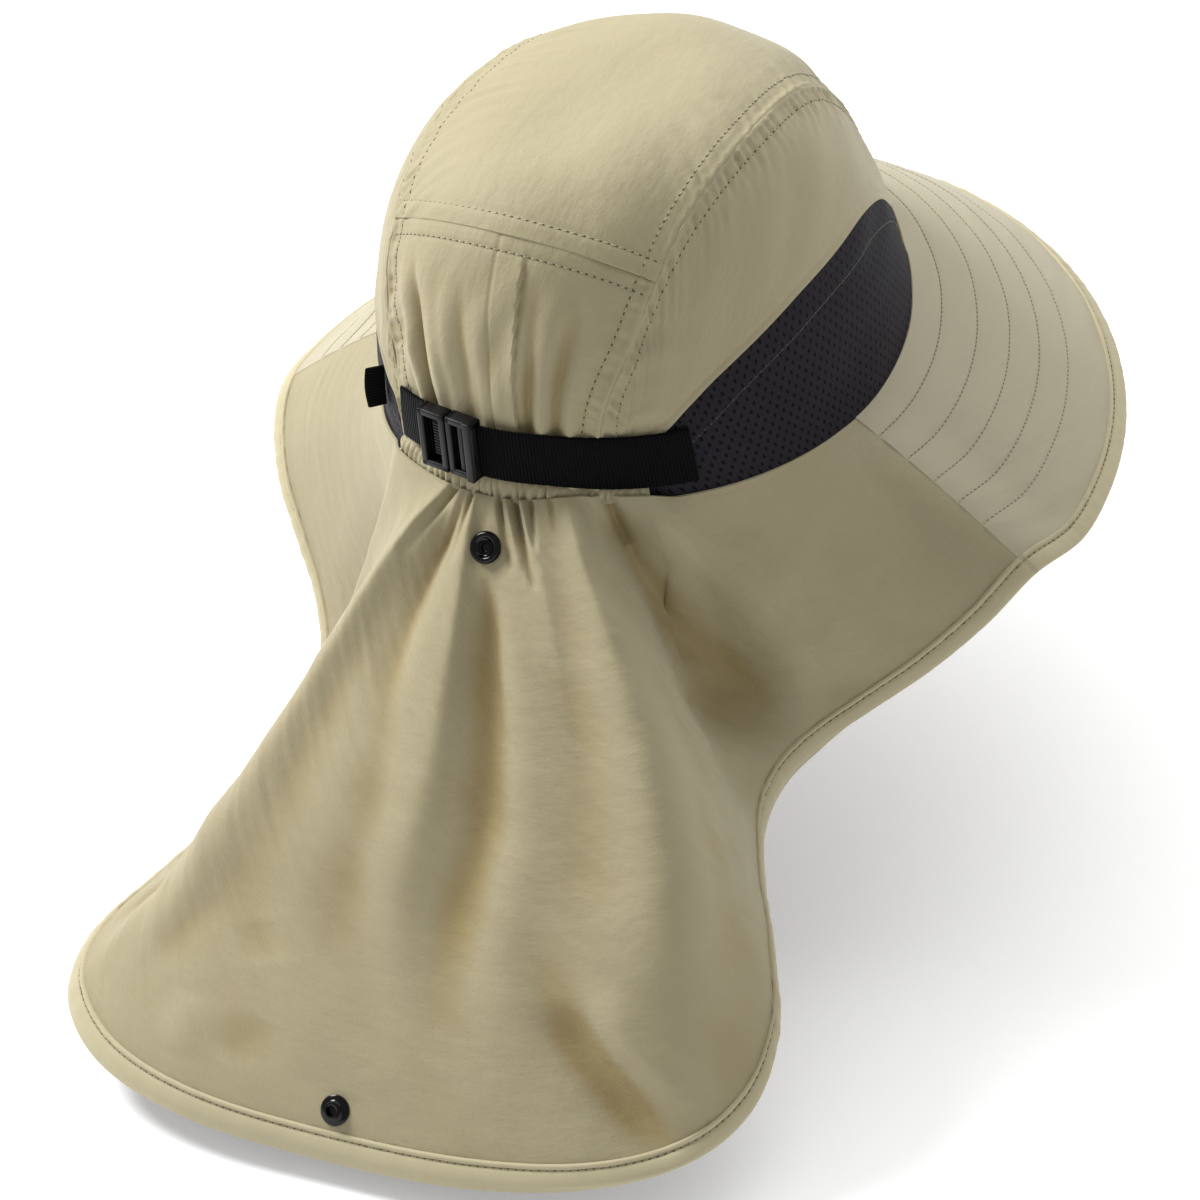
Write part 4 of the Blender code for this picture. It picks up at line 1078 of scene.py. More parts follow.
class Graph:
    """Nodes of one material. Sockets take a value or another node's output."""

    def __init__(self, name, roughness, sheen=0.0, coat=0.0, specular=0.5):
        self.material = bpy.data.materials.new(name)
        self.material.use_nodes = True
        self.shader = self.material.node_tree.nodes["Principled BSDF"].inputs
        self.shader["Roughness"].default_value = roughness
        self.shader["Specular IOR Level"].default_value = specular
        self.shader["Sheen Weight"].default_value = sheen
        self.shader["Sheen Roughness"].default_value = SHEEN_ROUGHNESS
        self.shader["Coat Weight"].default_value = coat
        self.shader["Coat Roughness"].default_value = COAT_ROUGHNESS

    def put(self, socket, value):
        if isinstance(value, bpy.types.NodeSocket):
            self.material.node_tree.links.new(value, socket)
        else:
            socket.default_value = value

    def make(self, kind, sockets=(), **settings):
        """Outputs of a new node with the given settings and sockets."""
        made = self.material.node_tree.nodes.new("ShaderNode" + kind)
        for name, value in settings.items():
            setattr(made, name, value)
        for name, value in dict(sockets).items():
            self.put(made.inputs[name], value)
        return made.outputs

    def math(self, operation, *values):
        return self.make("Math", enumerate(values), operation=operation)[0]

    def times(self, first, second):
        return self.math("MULTIPLY", first, second)

    def plus(self, first, second):
        return self.math("ADD", first, second)

    def wave(self, value, length):
        """Sine of a distance, with a wave length in metres."""
        return self.math("SINE", self.times(value, 2 * math.pi / length))

    def noise(self, vector, scale, detail=3.0, roughness=0.55, stretch=(1, 1, 1)):
        scaled = self.make("Mapping", {"Scale": stretch, "Vector": vector})[0]
        sockets = {"Scale": scale, "Detail": detail, "Roughness": roughness, "Vector": scaled}
        return self.make("TexNoise", sockets)["Fac"]

    def mix(self, dark, light, amount, **settings):
        """Blend of two colours, each three values or an output."""
        dark, light = (colour if isinstance(colour, bpy.types.NodeSocket) else (*colour, 1.0)
                       for colour in (dark, light))
        return self.make("Mix", {0: amount, 6: dark, 7: light}, data_type="RGBA", **settings)[2]

    def uv(self):
        return self.make("UVMap", uv_map="cloth")[0]

    def place(self):
        return self.make("TexCoord")["Object"]

    def parts(self, vector):
        return list(self.make("SeparateXYZ", {0: vector}))[:2]

    def finish(self, colour, height=None, strength=1.0):
        """Material with its colour and its relief joined to the shader."""
        self.put(self.shader["Base Color"], colour)
        if height is not None:
            sockets = {"Strength": strength, "Distance": 1.0, "Height": height}
            self.put(self.shader["Normal"], self.make("Bump", sockets)[0])
        return self.material


def cloth_material(name, colours, crinkle=1.0):
    """Woven nylon: plain weave, fine slubs, soft crinkles and slight colour changes, with painted shade,
    warmer and darker, in the valleys of folds.
    """
    light, dark = colours
    graph = Graph(name, 0.68, sheen=0.12, specular=0.35)
    uv = graph.uv()
    tone = graph.noise(graph.place(), 26.0, 4.0)
    slub = graph.noise(uv, 900.0, 2.0, 0.5, (0.16, 1.0, 1.0))
    plain = graph.mix(dark, light, graph.plus(graph.times(tone, 0.8), graph.times(slub, 0.35)))
    # Painted shade: the colour turns warmer and darker in the valleys of folds, by the attribute's mask
    painted_shade = graph.math("MINIMUM", graph.make("Attribute", attribute_name="painted_shade")["Fac"], 1.0)
    warp, weft = (graph.wave(part, THREAD_PITCH) for part in graph.parts(uv))
    woven = graph.times(graph.times(warp, weft), WEAVE_HEIGHT)
    crinkles = graph.noise(uv, 95.0, 5.0, 0.6, (1.0, 0.45, 1.0))
    relief = graph.plus(woven, graph.times(crinkles, CRINKLE_HEIGHT * crinkle))
    relief = graph.plus(relief, graph.times(slub, SLUB_HEIGHT))
    graph.put(graph.shader["Roughness"], graph.plus(graph.times(tone, 0.14), 0.60))
    return graph.finish(graph.mix(plain, PAINTED_HOLLOW_SHADE, painted_shade, blend_type="MULTIPLY"), relief, 0.6)


def mesh_material(name):
    """Knitted polyester mesh: staggered long holes in a fine dark knit, the holes painted near-black as
    painted shade of the crown's inside seen through them.
    """
    light, dark = KNIT
    graph = Graph(name, 0.75, sheen=0.02, specular=0.10)
    uv = graph.uv()
    along_up, along_across = graph.parts(uv)
    up = graph.math("DIVIDE", along_up, KNIT_PITCH_UP)
    stagger = graph.times(graph.math("MODULO", graph.math("FLOOR", up), 2.0), 0.5)
    across = graph.plus(graph.math("DIVIDE", along_across, KNIT_PITCH_ACROSS), stagger)
    shares = []
    for value, ratio in ((across, KNIT_PITCH_ACROSS / KNIT_HOLE_ACROSS), (up, KNIT_PITCH_UP / KNIT_HOLE_UP)):
        off_centre = graph.math("SUBTRACT", graph.math("FRACT", value), 0.5)
        shares.append(graph.math("POWER", graph.times(off_centre, ratio), 2.0))
    sockets = {"From Min": 1.25, "From Max": 0.75, "Value": graph.plus(*shares)}
    hole = graph.make("MapRange", sockets, interpolation_type="SMOOTHSTEP")[0]
    knit = graph.noise(uv, 1500.0, 2.0, 0.5, (1.0, 0.6, 1.0))
    tone = graph.noise(uv, 40.0, 3.0)
    body = graph.mix(dark, light, graph.plus(graph.times(knit, 0.6), graph.times(tone, 0.4)))
    relief = graph.math("SUBTRACT", graph.times(knit, KNIT_HEIGHT), graph.times(hole, KNIT_HOLE_DEPTH))
    # The holes take the near-black painted shade
    return graph.finish(graph.mix(body, KNIT_HOLE_SHADE, hole), relief, 0.8)


def webbing_material(name):
    """Black grosgrain webbing with ribs across its length; its colour is painted lighter on the ribs' crests
    and darker in their troughs, as painted light and shade.
    """
    light, dark = WEBBING
    graph = Graph(name, 0.55, specular=0.03)
    uv = graph.uv()
    rib = graph.wave(graph.parts(uv)[1], RIB_PITCH)
    thread = graph.noise(uv, 2200.0, 2.0, 0.5, (1.0, 0.4, 1.0))
    relief = graph.plus(graph.times(rib, RIB_HEIGHT), graph.times(thread, WEBBING_THREAD))
    # Painted light and shade: the colour follows the ribs, lighter on their crests and darker in their
    # troughs
    return graph.finish(graph.mix(dark, light, graph.plus(graph.times(rib, 0.4), 0.45)), relief, 0.9)


def moulded_material(name, colour, roughness, specular, coat=0.0, grain=0.00002):
    """Moulded plastic or enamelled metal with a fine grain and slight wear."""
    graph = Graph(name, roughness, coat=coat, specular=specular)
    place = graph.place()
    fine = graph.noise(place, 3000.0, 2.0)
    smear = graph.noise(place, 220.0, 3.0)
    dark, light = ([value * share for value in colour] for share in (0.75, 1.35))
    graph.put(graph.shader["Roughness"], graph.plus(graph.times(smear, 0.12), roughness - 0.06))
    return graph.finish(graph.mix(dark, light, smear), graph.times(fine, grain), 0.5)


def thread_material(name, colour):
    graph = Graph(name, 0.6, sheen=0.2)
    twist = graph.noise(graph.place(), 1800.0, 2.0)
    dark, light = ([value * share for value in colour] for share in (0.6, 1.2))
    return graph.finish(graph.mix(dark, light, twist))


# Crown pieces


DOME_CENTRE = np.array([0.0, 0.01, 0.01])


def seam_lift(distance, along, seed, strength=1.0):
    """Raised and puckered band beside a long seam, with a ditch under its stitches."""
    ridge = SEAM_RIDGE * bell(distance - RIDGE_PLACE, RIDGE_WIDTH)
    band = SEAM_BAND * (1 - smooth_step(SEAM_ROW, SEAM_ROW + BAND_FADE, distance))
    ditch = -DITCH_DEPTH * bell(distance - SEAM_ROW, DITCH_WIDTH)
    pucker = ripples(distance * 0, along, 1.0, PUCKER_LENGTH, seed)
    inside = window(distance, 0.0004, 0.0018, SEAM_ROW - 0.001, SEAM_ROW + 0.0004)
    past = smooth_step(SEAM_ROW - 0.001, SEAM_ROW + 0.0006, distance) * bell(distance - SEAM_ROW, 0.006)
    return ridge + band + ditch + strength * pucker * (PUCKER_INSIDE * inside + PUCKER_PAST * past)


def calm_at_foot(place):
    return 1 - smooth_step(0.80, 0.95, np.abs(place))


def strip_sheet(start, end, steps, seed):
    """Sheet of the centre strip with its places, shares across and its seams' relief."""
    places = np.linspace(start, end, steps[0] + 1)
    place, share = np.meshgrid(places, even_and_dense(steps[1]), indexing="ij")
    right, left = strip_edge(place, -1), strip_edge(place, 1)
    sheet = Sheet(crown_over(right + (left - right) * share, place), DOME_CENTRE)
    lift = seam_lift(sheet.column_start, sheet.row_start, seed)
    return sheet, place, share, lift + seam_lift(sheet.column_end, sheet.row_start, seed + 1)


def make_crown_top(material):
    sheet, place, _, lift = strip_sheet(-1.0, BACK_SEAM_PLACE, TOP_STEPS, 21)
    back = sheet.row_end
    lift = lift - CROSS_DITCH * bell(back - TOP_BACK_ROW, CROSS_DITCH_WIDTH)
    lift = lift + TOP_HEM * (1 - smooth_step(TOP_HEM_END, TOP_HEM_FADE, back))
    lift = lift + sheet.waves("top")
    near = bell(sheet.column_start - 0.010, 0.013) + bell(sheet.column_end - 0.010, 0.018)
    lift = lift + near * sheet.waves("top seams")
    sheet.raise_by(lift * calm_at_foot(place))
    return sheet, add_cloth("crown_strip_cloth", sheet, CLOTH, [material])


def lap(away):
    """Height of a pressed pleat: it swells towards its sharp edge and drops behind it."""
    swell = LAP_HEIGHT * np.exp(-np.abs(away) / 0.05)
    drop = LAP_DROP * smooth_step(0.0, 0.008, away) * np.exp(-np.abs(away) / 0.03)
    return np.where(away < 0, swell, swell - drop)


def make_crown_back(material):
    end = back_foot_place()
    sheet, place, share, lift = strip_sheet(BACK_SEAM_PLACE, end, BACK_STEPS, 31)
    run = sheet.row_start
    down = (place - BACK_SEAM_PLACE) / (end - BACK_SEAM_PLACE)
    lift = lift - CROSS_DITCH * bell(run - BACK_TOP_ROW, CROSS_DITCH_WIDTH) - 0.0002 * bell(run, 0.0010)
    grow = smooth_step(0.10, 0.62, down)
    for top, foot, depth, width in PLEAT_ROWS:
        centre = top + (foot - top) * down
        lift = lift + depth * bell(share - centre, width * (1.3 - 0.3 * down)) * grow
    lift = lift + lap(LAP_TOP + (LAP_FOOT - LAP_TOP) * down - share) * smooth_step(0.03, 0.2, down)
    lift = lift - BACK_CREASE * bell(share - (CREASE_TOP + (CREASE_FOOT - CREASE_TOP) * down), 0.006)
    inside = np.sin(math.pi * np.clip(share, 0.0, 1.0)) ** 0.6
    gathers = ripples(share * 0.09, run, 0.0085, 0.085, 33)
    lift = lift + BACK_GATHERS * gathers * smooth_step(0.35, 0.95, down) * inside
    lift = lift + sheet.waves("back") * smooth_step(0.05, 0.3, down)
    sheet.raise_by(lift)
    sheet.sink = lift - lowest_near(lift, 2)
    # Mask of the painted shade in the panel's valleys
    sheet.painted_shade_mask = hollow_shade_mask(lift, 8, 0.0016)
    return sheet, add_cloth("crown_back_cloth", sheet, CLOTH, [material])


def side_lower_edge(side, finer):
    """Angles and height shares where a side panel meets the mesh band and the casing."""
    front_steps, mesh_steps, back_steps = (cells * finer for cells in SIDE_EDGE_CELLS)
    angles, heights = mesh_edge_curve(side, mesh_steps + 1)
    front = np.linspace(0.0, 1.0, front_steps + 1)[:-1]
    front_angle = side * math.radians(MESH_FRONT_ANGLE)
    back = np.linspace(0.0, 1.0, back_steps + 1)[1:]
    back_height = share_for_rise(BACK_FOOT_RISE)
    angle = np.concatenate([
        front_angle + (angles[0] - front_angle) * front,
        angles,
        angles[-1] + (mesh_back_angle(side) - angles[-1]) * back,
    ])
    height = np.concatenate([
        heights[0] * front,
        heights,
        heights[-1] + (back_height - heights[-1]) * back,
    ])
    return angle, height


def make_crown_side(name, side, material, seed):
    finer = SIDE_STEPS[0] // SIDE_CELLS
    low_angle, low_height = side_lower_edge(side, finer)
    front = int(round(SIDE_CELLS * (1 + BACK_SEAM_PLACE) / 2)) * finer
    places = np.concatenate([
        np.linspace(-1.0, BACK_SEAM_PLACE, front + 1),
        np.linspace(BACK_SEAM_PLACE, back_foot_place(), SIDE_STEPS[0] - front + 1)[1:],
    ])
    across = strip_edge(places, side)
    along = np.sqrt(1 - across ** 2) * np.sin(places * math.pi / 2)
    seam_angle = np.arctan2(across, -along)
    seam_height = height_share_of(np.hypot(across, along))
    share = even_and_dense(SIDE_STEPS[1])[None, :]
    angle = seam_angle[:, None] + (low_angle - seam_angle)[:, None] * share
    height = seam_height[:, None] + (low_height - seam_height)[:, None] * share
    sheet = Sheet(crown_at(angle, height), DOME_CENTRE)
    place = places[:, None] * np.ones_like(angle)
    seam, edge = sheet.column_start, sheet.column_end
    lift = seam_lift(seam, sheet.row_start[:, :1] * np.ones_like(angle), seed, 1.5)
    lift = lift + SIDE_HEM * (1 - smooth_step(0.0006, 0.0030, edge))
    lift = lift - SIDE_HEM_DITCH * bell(edge - 0.0026, 0.0009)
    open_cloth = smooth_step(0.006, 0.018, seam) * smooth_step(0.0, 0.012, edge)
    lift = lift + sheet.waves("side", seed) * open_cloth
    lift = lift + bell(seam - 0.009, 0.008) * sheet.waves("side seam", seed)
    pull = bell(place - 0.66, 0.17) * np.sin(math.pi * np.clip(share, 0, 1)) ** 0.7
    folds = ripples(place * 0.10 + share * 0.034, place * 0, 0.017, 1.0, seed + 6)
    lift = lift + SIDE_PULL * pull * folds
    sheet.raise_by(lift * calm_at_foot(place))
    return sheet, add_cloth(name, sheet, CLOTH, [material])


def make_mesh_band(name, side, material):
    count = MESH_STEPS[0]
    top_angle, top_height = mesh_edge_curve(side, count + 1)
    foot_angle = np.linspace(side * math.radians(MESH_FRONT_ANGLE), mesh_back_angle(side), count + 1)
    share = even_and_dense(MESH_STEPS[1])[None, :]
    angle = foot_angle[:, None] + (top_angle - foot_angle)[:, None] * share
    height = top_height[:, None] * share
    sheet = Sheet(crown_at(angle, height), DOME_CENTRE)
    edge = sheet.column_end
    lift = -0.0004 + 0.0005 * (1 - smooth_step(MESH_ROW - 0.001, MESH_ROW + 0.0015, edge))
    lift = lift - 0.0003 * bell(edge - MESH_ROW, 0.0009)
    lift = lift + sheet.waves("mesh", side)
    lift = lift + 0.0004 * (1 - smooth_step(0.0030, 0.0055, sheet.column_start))
    sheet.raise_by(lift)
    return sheet, add_cloth(name, sheet, CLOTH, [material])


# Brim, flap and rim band


def skirt_sheet(first, last, steps, thickness):
    """Sheet of the skirt from its foot to the rim band, with sections and shares down."""
    section = np.linspace(first, last, steps[0] + 1)[:, None]
    share = np.linspace(0.0, 1.0, steps[1] + 1)[None, :]
    length = skirt_length(section)
    down = FOOT_TUCK / length + share * (1 - (RIM_WIDTH - RIM_LAP + FOOT_TUCK) / length)
    section, share = np.broadcast_arrays(section, share)
    return Sheet(skirt(section, down, thickness / 2)), section, share, down


def make_brim(materials):
    sheet, section, share, _ = skirt_sheet(2 * FLAP_SECTIONS, ALL_SECTIONS, BRIM_STEPS, BRIM_THICKNESS)
    total = sheet.column_start[:, -1:]
    lift = sheet.waves("brim")
    for row in BRIM_ROWS:
        away = (share - row) * total
        pucker = ripples(section * 0, sheet.row_start, 1.0, 0.006, 52)
        lift = lift - BRIM_DITCH * bell(away, BRIM_DITCH_WIDTH)
        lift = lift + BRIM_PUCKER * bell(away, 0.004) * pucker
    sheet.raise_by(lift)
    piece = add_cloth("brim_cloth_sheet", sheet, BRIM_THICKNESS, materials, thin=3)
    return piece, [sheet.row_at(share, row) for row in BRIM_ROWS]


def make_flap(materials):
    sheet, section, _, down = skirt_sheet(0.0, 2 * FLAP_SECTIONS, FLAP_STEPS, FLAP_THICKNESS)
    lift = skirt_swell(section, down) + flap_detail(section, down)
    sheet.sink = lift - lowest_near(lift, 3)
    # Mask of the painted shade in the flap's valleys
    sheet.painted_shade_mask = hollow_shade_mask(lift, 10, 0.0030)
    return sheet, add_cloth("neck_flap_cloth", sheet, FLAP_THICKNESS, materials, thin=3)


# Profile of the rim band: metres in from the outer edge and height off its middle
RIM_PROFILE = (
    (0.0082, 0.0006), (0.0079, 0.0013), (0.0073, 0.00165), (0.0067, 0.00145), (0.0062, 0.0008),
    (0.0058, 0.0007), (0.0053, 0.00105), (0.0040, 0.0013), (0.0020, 0.00125), (0.0008, 0.00095),
    (0.0001, 0.0004), (0.0000, -0.0003), (0.0006, -0.0010), (0.0030, -0.0012), (0.0070, -0.0011),
    (0.0082, -0.0008),
)
UPPER_RIM_POINTS = 11

# Lip of the rim band's dark underside: how far it shows, then the sections where it grows
# and fades
RIM_LIPS = (
    (0.0024, 11.0, 13.5, 17.5, 19.5),
    (0.00168, 3.2, 4.2, 6.5, 7.5),
)
RIM_ROW_INWARD = 0.0059
RIM_ROW_LIFT = 0.0008


def make_rim_band(materials):
    section = np.linspace(0.0, ALL_SECTIONS, RIM_STEPS + 1)[:-1]
    length = skirt_length(section)
    run = run_along(skirt_plain(section, np.ones_like(section)))
    wave = 0.00012 * ripples(run * 0, run, 1.0, 0.007, 61)
    lip = sum(size * window(section, *span) for size, *span in RIM_LIPS)
    rings = []
    for index, (inward, height) in enumerate(RIM_PROFILE):
        shift = lip if index >= UPPER_RIM_POINTS else 0.0
        rings.append(skirt(section, 1 - (inward - shift) / length, height + wave * (height > 0)))
    rings = np.stack(rings, axis=1)
    piece = add_tube("rim_band_cloth", rings, materials, closed=True, smooth_angle=70.0)
    slots = np.tile(np.arange(len(RIM_PROFILE)) >= UPPER_RIM_POINTS, len(section)).astype(np.int32)
    piece.data.polygons.foreach_set("material_index", slots)
    round_rim = np.append(section, section[0])
    row, raised = (skirt(round_rim, 1 - RIM_ROW_INWARD / skirt_length(round_rim), lift)
                   for lift in (RIM_ROW_LIFT, RIM_ROW_LIFT + 0.001))
    return piece, (row, unit(raised - row))


# Casing, strap, buckle, snaps and tab


def make_casing(material):
    start = mesh_back_angle(-1)
    end = mesh_back_angle(1) - 2 * math.pi
    angles = np.linspace(start, end, CASING_STEPS + 1)
    run = np.linspace(0.0, 1.0, CASING_STEPS + 1)
    draw = np.random.default_rng(71)
    knots = np.cumsum(draw.uniform(0.6, 1.5, CASING_KNOTS))
    knots = (knots - knots[0]) / (knots[-1] - knots[0])
    phase = np.interp(run, knots, np.arange(len(knots)))
    deep = 0.55 + 0.45 * np.sin(1.7 * phase) * np.sin(0.63 * phase + 0.4)
    fold = np.abs(np.sin(math.pi * phase)) ** 0.6 * deep + (1 - deep) * 0.6
    tight = 0.45 + 0.55 * bell(run - 0.52, 0.30)
    turns = np.linspace(0.0, 2 * math.pi, CASING_SIDES, endpoint=False)
    rings = []
    for index, angle in enumerate(angles):
        foot = crown_at(np.array(angle), np.array(0.0))
        low = casing_lower_edge(angle) - 0.0004
        high = base_height(angle) + CASING_RISE + CASING_HEIGHT / 2 + 0.0014
        foot[2] = (low + high) / 2
        outward = unit(foot * np.array([CROWN_HALF_WIDTH ** -2, CROWN_BACK ** -2, 0.0]))
        out = CASING_THICKNESS / 2 + 0.0002 + CASING_FOLD * (fold[index] - 0.55) * tight[index]
        half = (high - low) / 2
        ring = []
        for turn in turns:
            lean = CASING_LEAN * math.sin(3 * turn + 7 * phase[index])
            up = half * math.sin(turn) * (1 + 0.06 * (fold[index] - 0.5))
            ring.append(foot + outward * ((out + lean) * math.cos(turn)) + np.array([0, 0, up]))
        rings.append(ring)
    return add_tube("casing_cloth", np.array(rings), material, smooth_angle=70.0)


def strap_rings(start_angle, end_angle, climb_start, count):
    """Webbing with rounded edges along the crown; it rises where it meets the buckle."""
    share = np.linspace(0.0, 1.0, count + 1)
    climb = STRAP_CLIMB * (climb_start + (1 - climb_start) * share ** 2)
    low = share_for_rise(STRAP_RISE + climb)
    high = share_for_rise(STRAP_RISE + climb + STRAP_HEIGHT)
    angle = np.radians(start_angle + (end_angle - start_angle) * share)
    sit = STRAP_LIFT + (STRAP_END_SIT - STRAP_LIFT) * smooth_step(0.55, 1.0, share)
    rings = [crown_lift(angle, low + (high - low) * up, sit + out * STRAP_THICKNESS)
             for up, out in STRAP_PROFILE]
    return np.stack(rings, axis=1)


def angle_of_side(offset):
    return 180.0 - math.degrees(math.asin(offset / CROWN_HALF_WIDTH))


def make_straps(material):
    """The webbing on the right and on the left of the buckle."""
    reach = BUCKLE_LENGTH / 2 - STRAP_TUCK
    pieces = []
    for word, start, side, whole_turn, climb, count in (
            ("right", STRAP_RIGHT_ANGLE, -1, 360.0, 0.0, 160),
            ("left", STRAP_LEFT_ANGLE, 1, 0.0, 1.0, 80)):
        rings = strap_rings(start, angle_of_side(BUCKLE_CENTRE + side * reach) - whole_turn, climb, count)
        pieces.append(add_tube(f"strap_{word}_webbing", rings, material, smooth_angle=70.0))
    return pieces


def buckle_frame():
    """Matrix of the buckle: X across to the wearer's right, Y up the crown, Z outward."""
    angle = np.array(math.radians(angle_of_side(BUCKLE_CENTRE)))
    middle = np.array(share_for_rise(STRAP_RISE + STRAP_CLIMB + STRAP_HEIGHT / 2))
    centre, upper, outer = (crown_lift(angle, middle + rise, np.array(STRAP_LIFT + out))
                            for rise, out in ((0.0, 0.0), (0.02, 0.0), (0.0, 0.001)))
    outward = unit(outer - centre)
    up = unit(upper - centre)
    up = unit(up - outward * float(up @ outward))
    return matrix_of((np.cross(up, outward), up, outward), centre)


def bevelled_box(body, low, high, bevel):
    """Adds a box with rounded edges to a bmesh."""
    size = Vector(high) - Vector(low)
    place = Matrix.LocRotScale((Vector(high) + Vector(low)) / 2, None, size)
    made = bmesh.ops.create_cube(body, size=1.0, matrix=place)
    edges = list({edge for vertex in made["verts"] for edge in vertex.link_edges})
    bmesh.ops.bevel(body, geom=edges, offset=bevel, segments=3, profile=0.5, affect="EDGES",
                    clamp_overlap=True)


def frame_bars(body, low, high, bevel):
    """Four bars that make a rectangular frame."""
    x0, y0, z0 = low
    x1, y1, z1 = high
    wall = BUCKLE_WALL
    for a, b, c, d in ((x0, y0, x0 + wall, y1), (x1 - wall, y0, x1, y1),
                       (x0, y0, x1, y0 + wall), (x0, y1 - wall, x1, y1)):
        bevelled_box(body, (a, b, z0), (c, d, z1), bevel)


def make_buckle(material):
    """Both halves of the buckle, each a frame with its own plates, ribs and bars."""
    half, tall, thick = BUCKLE_LENGTH / 2, BUCKLE_HEIGHT / 2, BUCKLE_THICKNESS
    middle = half / 2
    rib_reach = tall - 0.0055
    ribs = [((-half + 0.0049, y - 0.00035, 0.0038), (-0.0036, y + 0.00035, 0.0044), 0.00015)
            for y in np.linspace(-rib_reach, rib_reach, BUCKLE_RIBS)]
    halves = (
        ("left", (-half, -tall, 0.0006), (-0.0001, tall, thick), 0.0005, (
            ((-half + 0.0008, -tall + 0.001, 0.0), (-0.001, tall - 0.001, 0.0026), 0.0004),
            ((-half + 0.0045, -tall + 0.0045, 0.0026), (-0.0032, tall - 0.0045, 0.0040), 0.0004),
            *ribs,
            ((-half - 0.0010, -tall + 0.0030, 0.0008), (-half + 0.0012, tall - 0.0030, 0.0040), 0.0005),
        )),
        ("right", (0.0001, -tall, 0.0002), (half, tall, thick - 0.0004), 0.0006, (
            ((middle - 0.0010, -tall + 0.0012, 0.0008),
             (middle + 0.0010, tall - 0.0012, thick - 0.0012), 0.0005),
            ((half - 0.0034, -tall - 0.0003, thick - 0.0016),
             (half - 0.0003, tall + 0.0003, thick + 0.0002), 0.0005),
        )),
    )
    pieces = []
    for word, low, high, bevel, boxes in halves:
        body = bmesh.new()
        frame_bars(body, low, high, bevel)
        for box in boxes:
            bevelled_box(body, *box)
        mesh = bpy.data.meshes.new(f"buckle_{word}_detail")
        body.to_mesh(mesh)
        body.free()
        pieces.append(link(mesh.name, mesh, material, 35.0))
        mesh.transform(buckle_frame())
    return pieces


def surface_frame(section, down, clear):
    """Matrix of a piece that sits on the flap: Z along the cloth's normal, Y down the flap."""
    down_step = 0.03
    section_step = 0.3
    round_rim = skirt(section + section_step, down) - skirt(section - section_step, down)
    along = unit(skirt(section, down + down_step) - skirt(section, down - down_step))
    normal = unit(np.cross(round_rim, along))
    return matrix_of((np.cross(along, normal), along, normal), skirt(section, down) + normal * clear)


def add_turned(name, profile, material, matrix):
    """Body of revolution from radius and height pairs; it starts and ends on its axis."""
    sides = TURNED_SIDES
    turns = [2 * math.pi * side / sides for side in range(sides)]
    points = []
    rings = []
    for radius, height in profile:
        ring = turns if radius else [0.0]
        rings.append(list(range(len(points), len(points) + len(ring))))
        points += [(radius * math.cos(turn), radius * math.sin(turn), height) for turn in ring]
    faces = []
    for low, high in zip(rings, rings[1:]):
        for side in range(sides):
            corners = [ring[place % len(ring)] for ring, place in (
                (low, side), (low, (side + 1) % sides), (high, (side + 1) % sides), (high, side))]
            faces.append(list(dict.fromkeys(corners)))
    piece = link(name, mesh_of(name, points, faces, turn_outward=True), material, 40.0)
    piece.data.transform(matrix)
    return piece


def make_snaps(material):
    clear = FLAP_THICKNESS / 2 - 0.0001
    socket = [(share * SNAP_DIAMETER / 2, height) for share, height in SOCKET_PROFILE]
    return [add_turned(name, profile, material, surface_frame(section, place, clear))
            for name, profile, section, place in (
                ("socket_detail", socket, SOCKET_SECTION, SOCKET_PLACE),
                ("stud_detail", STUD_PROFILE, STUD_SECTION, STUD_PLACE))]


def make_tab(material):
    """Small folded tab, its bare outer face slightly bowed."""
    rings = []
    low = share_for_rise(TAB_RISE)
    high = share_for_rise(TAB_RISE + TAB_HEIGHT)
    for share in np.linspace(0.0, 1.0, 25):
        height = low + (high - low) * share
        bow = TAB_BOW * math.sin(math.pi * share)
        ring = []
        for out, across in TAB_PROFILE:
            angle = math.radians(TAB_ANGLE) + across * TAB_THICKNESS / CROWN_BACK
            reach = GAP + out * (TAB_REACH + bow)
            ring.append(crown_lift(np.array(angle), np.array(height), np.array(reach)))
        rings.append(ring)
    return add_tube("tab_cloth", np.array(rings), material)


# Camera, light and floor


def add_camera():
    turn, lift, roll = (math.radians(value) for value in (CAMERA_TURN, CAMERA_LIFT, CAMERA_ROLL))
    view = np.array([math.sin(turn) * math.cos(lift), -math.cos(turn) * math.cos(lift), -math.sin(lift)])
    level = np.array([-math.cos(turn), -math.sin(turn), 0.0])
    upright = np.cross(level, view)
    right = math.cos(roll) * level + math.sin(roll) * upright
    up = -math.sin(roll) * level + math.cos(roll) * upright
    shift = [(pixel - PICTURE_SIDE / 2) / PIXELS_PER_METRE for pixel in ORIGIN_PIXEL]
    place = -CAMERA_DISTANCE * view - right * shift[0] + up * shift[1]
    data = bpy.data.cameras.new("camera")
    data.sensor_width = SENSOR_WIDTH
    data.lens = PIXELS_PER_METRE * CAMERA_DISTANCE / PICTURE_SIDE * SENSOR_WIDTH
    camera = bpy.data.objects.new("camera", data)
    camera.matrix_world = matrix_of((right, up, -view), place)
    bpy.context.scene.collection.objects.link(camera)
    bpy.context.scene.camera = camera
    return right, up, view


def add_lamp(name, place, size, energy):
    data = bpy.data.lights.new(name, "AREA")
    data.shape = "DISK"
    data.size = size
    data.energy = energy
    lamp = bpy.data.objects.new(name, data)
    lamp.location = place
    lamp.rotation_euler = (Vector(LIGHT_AIM) - place).to_track_quat("-Z", "Y").to_euler()
    bpy.context.scene.collection.objects.link(lamp)


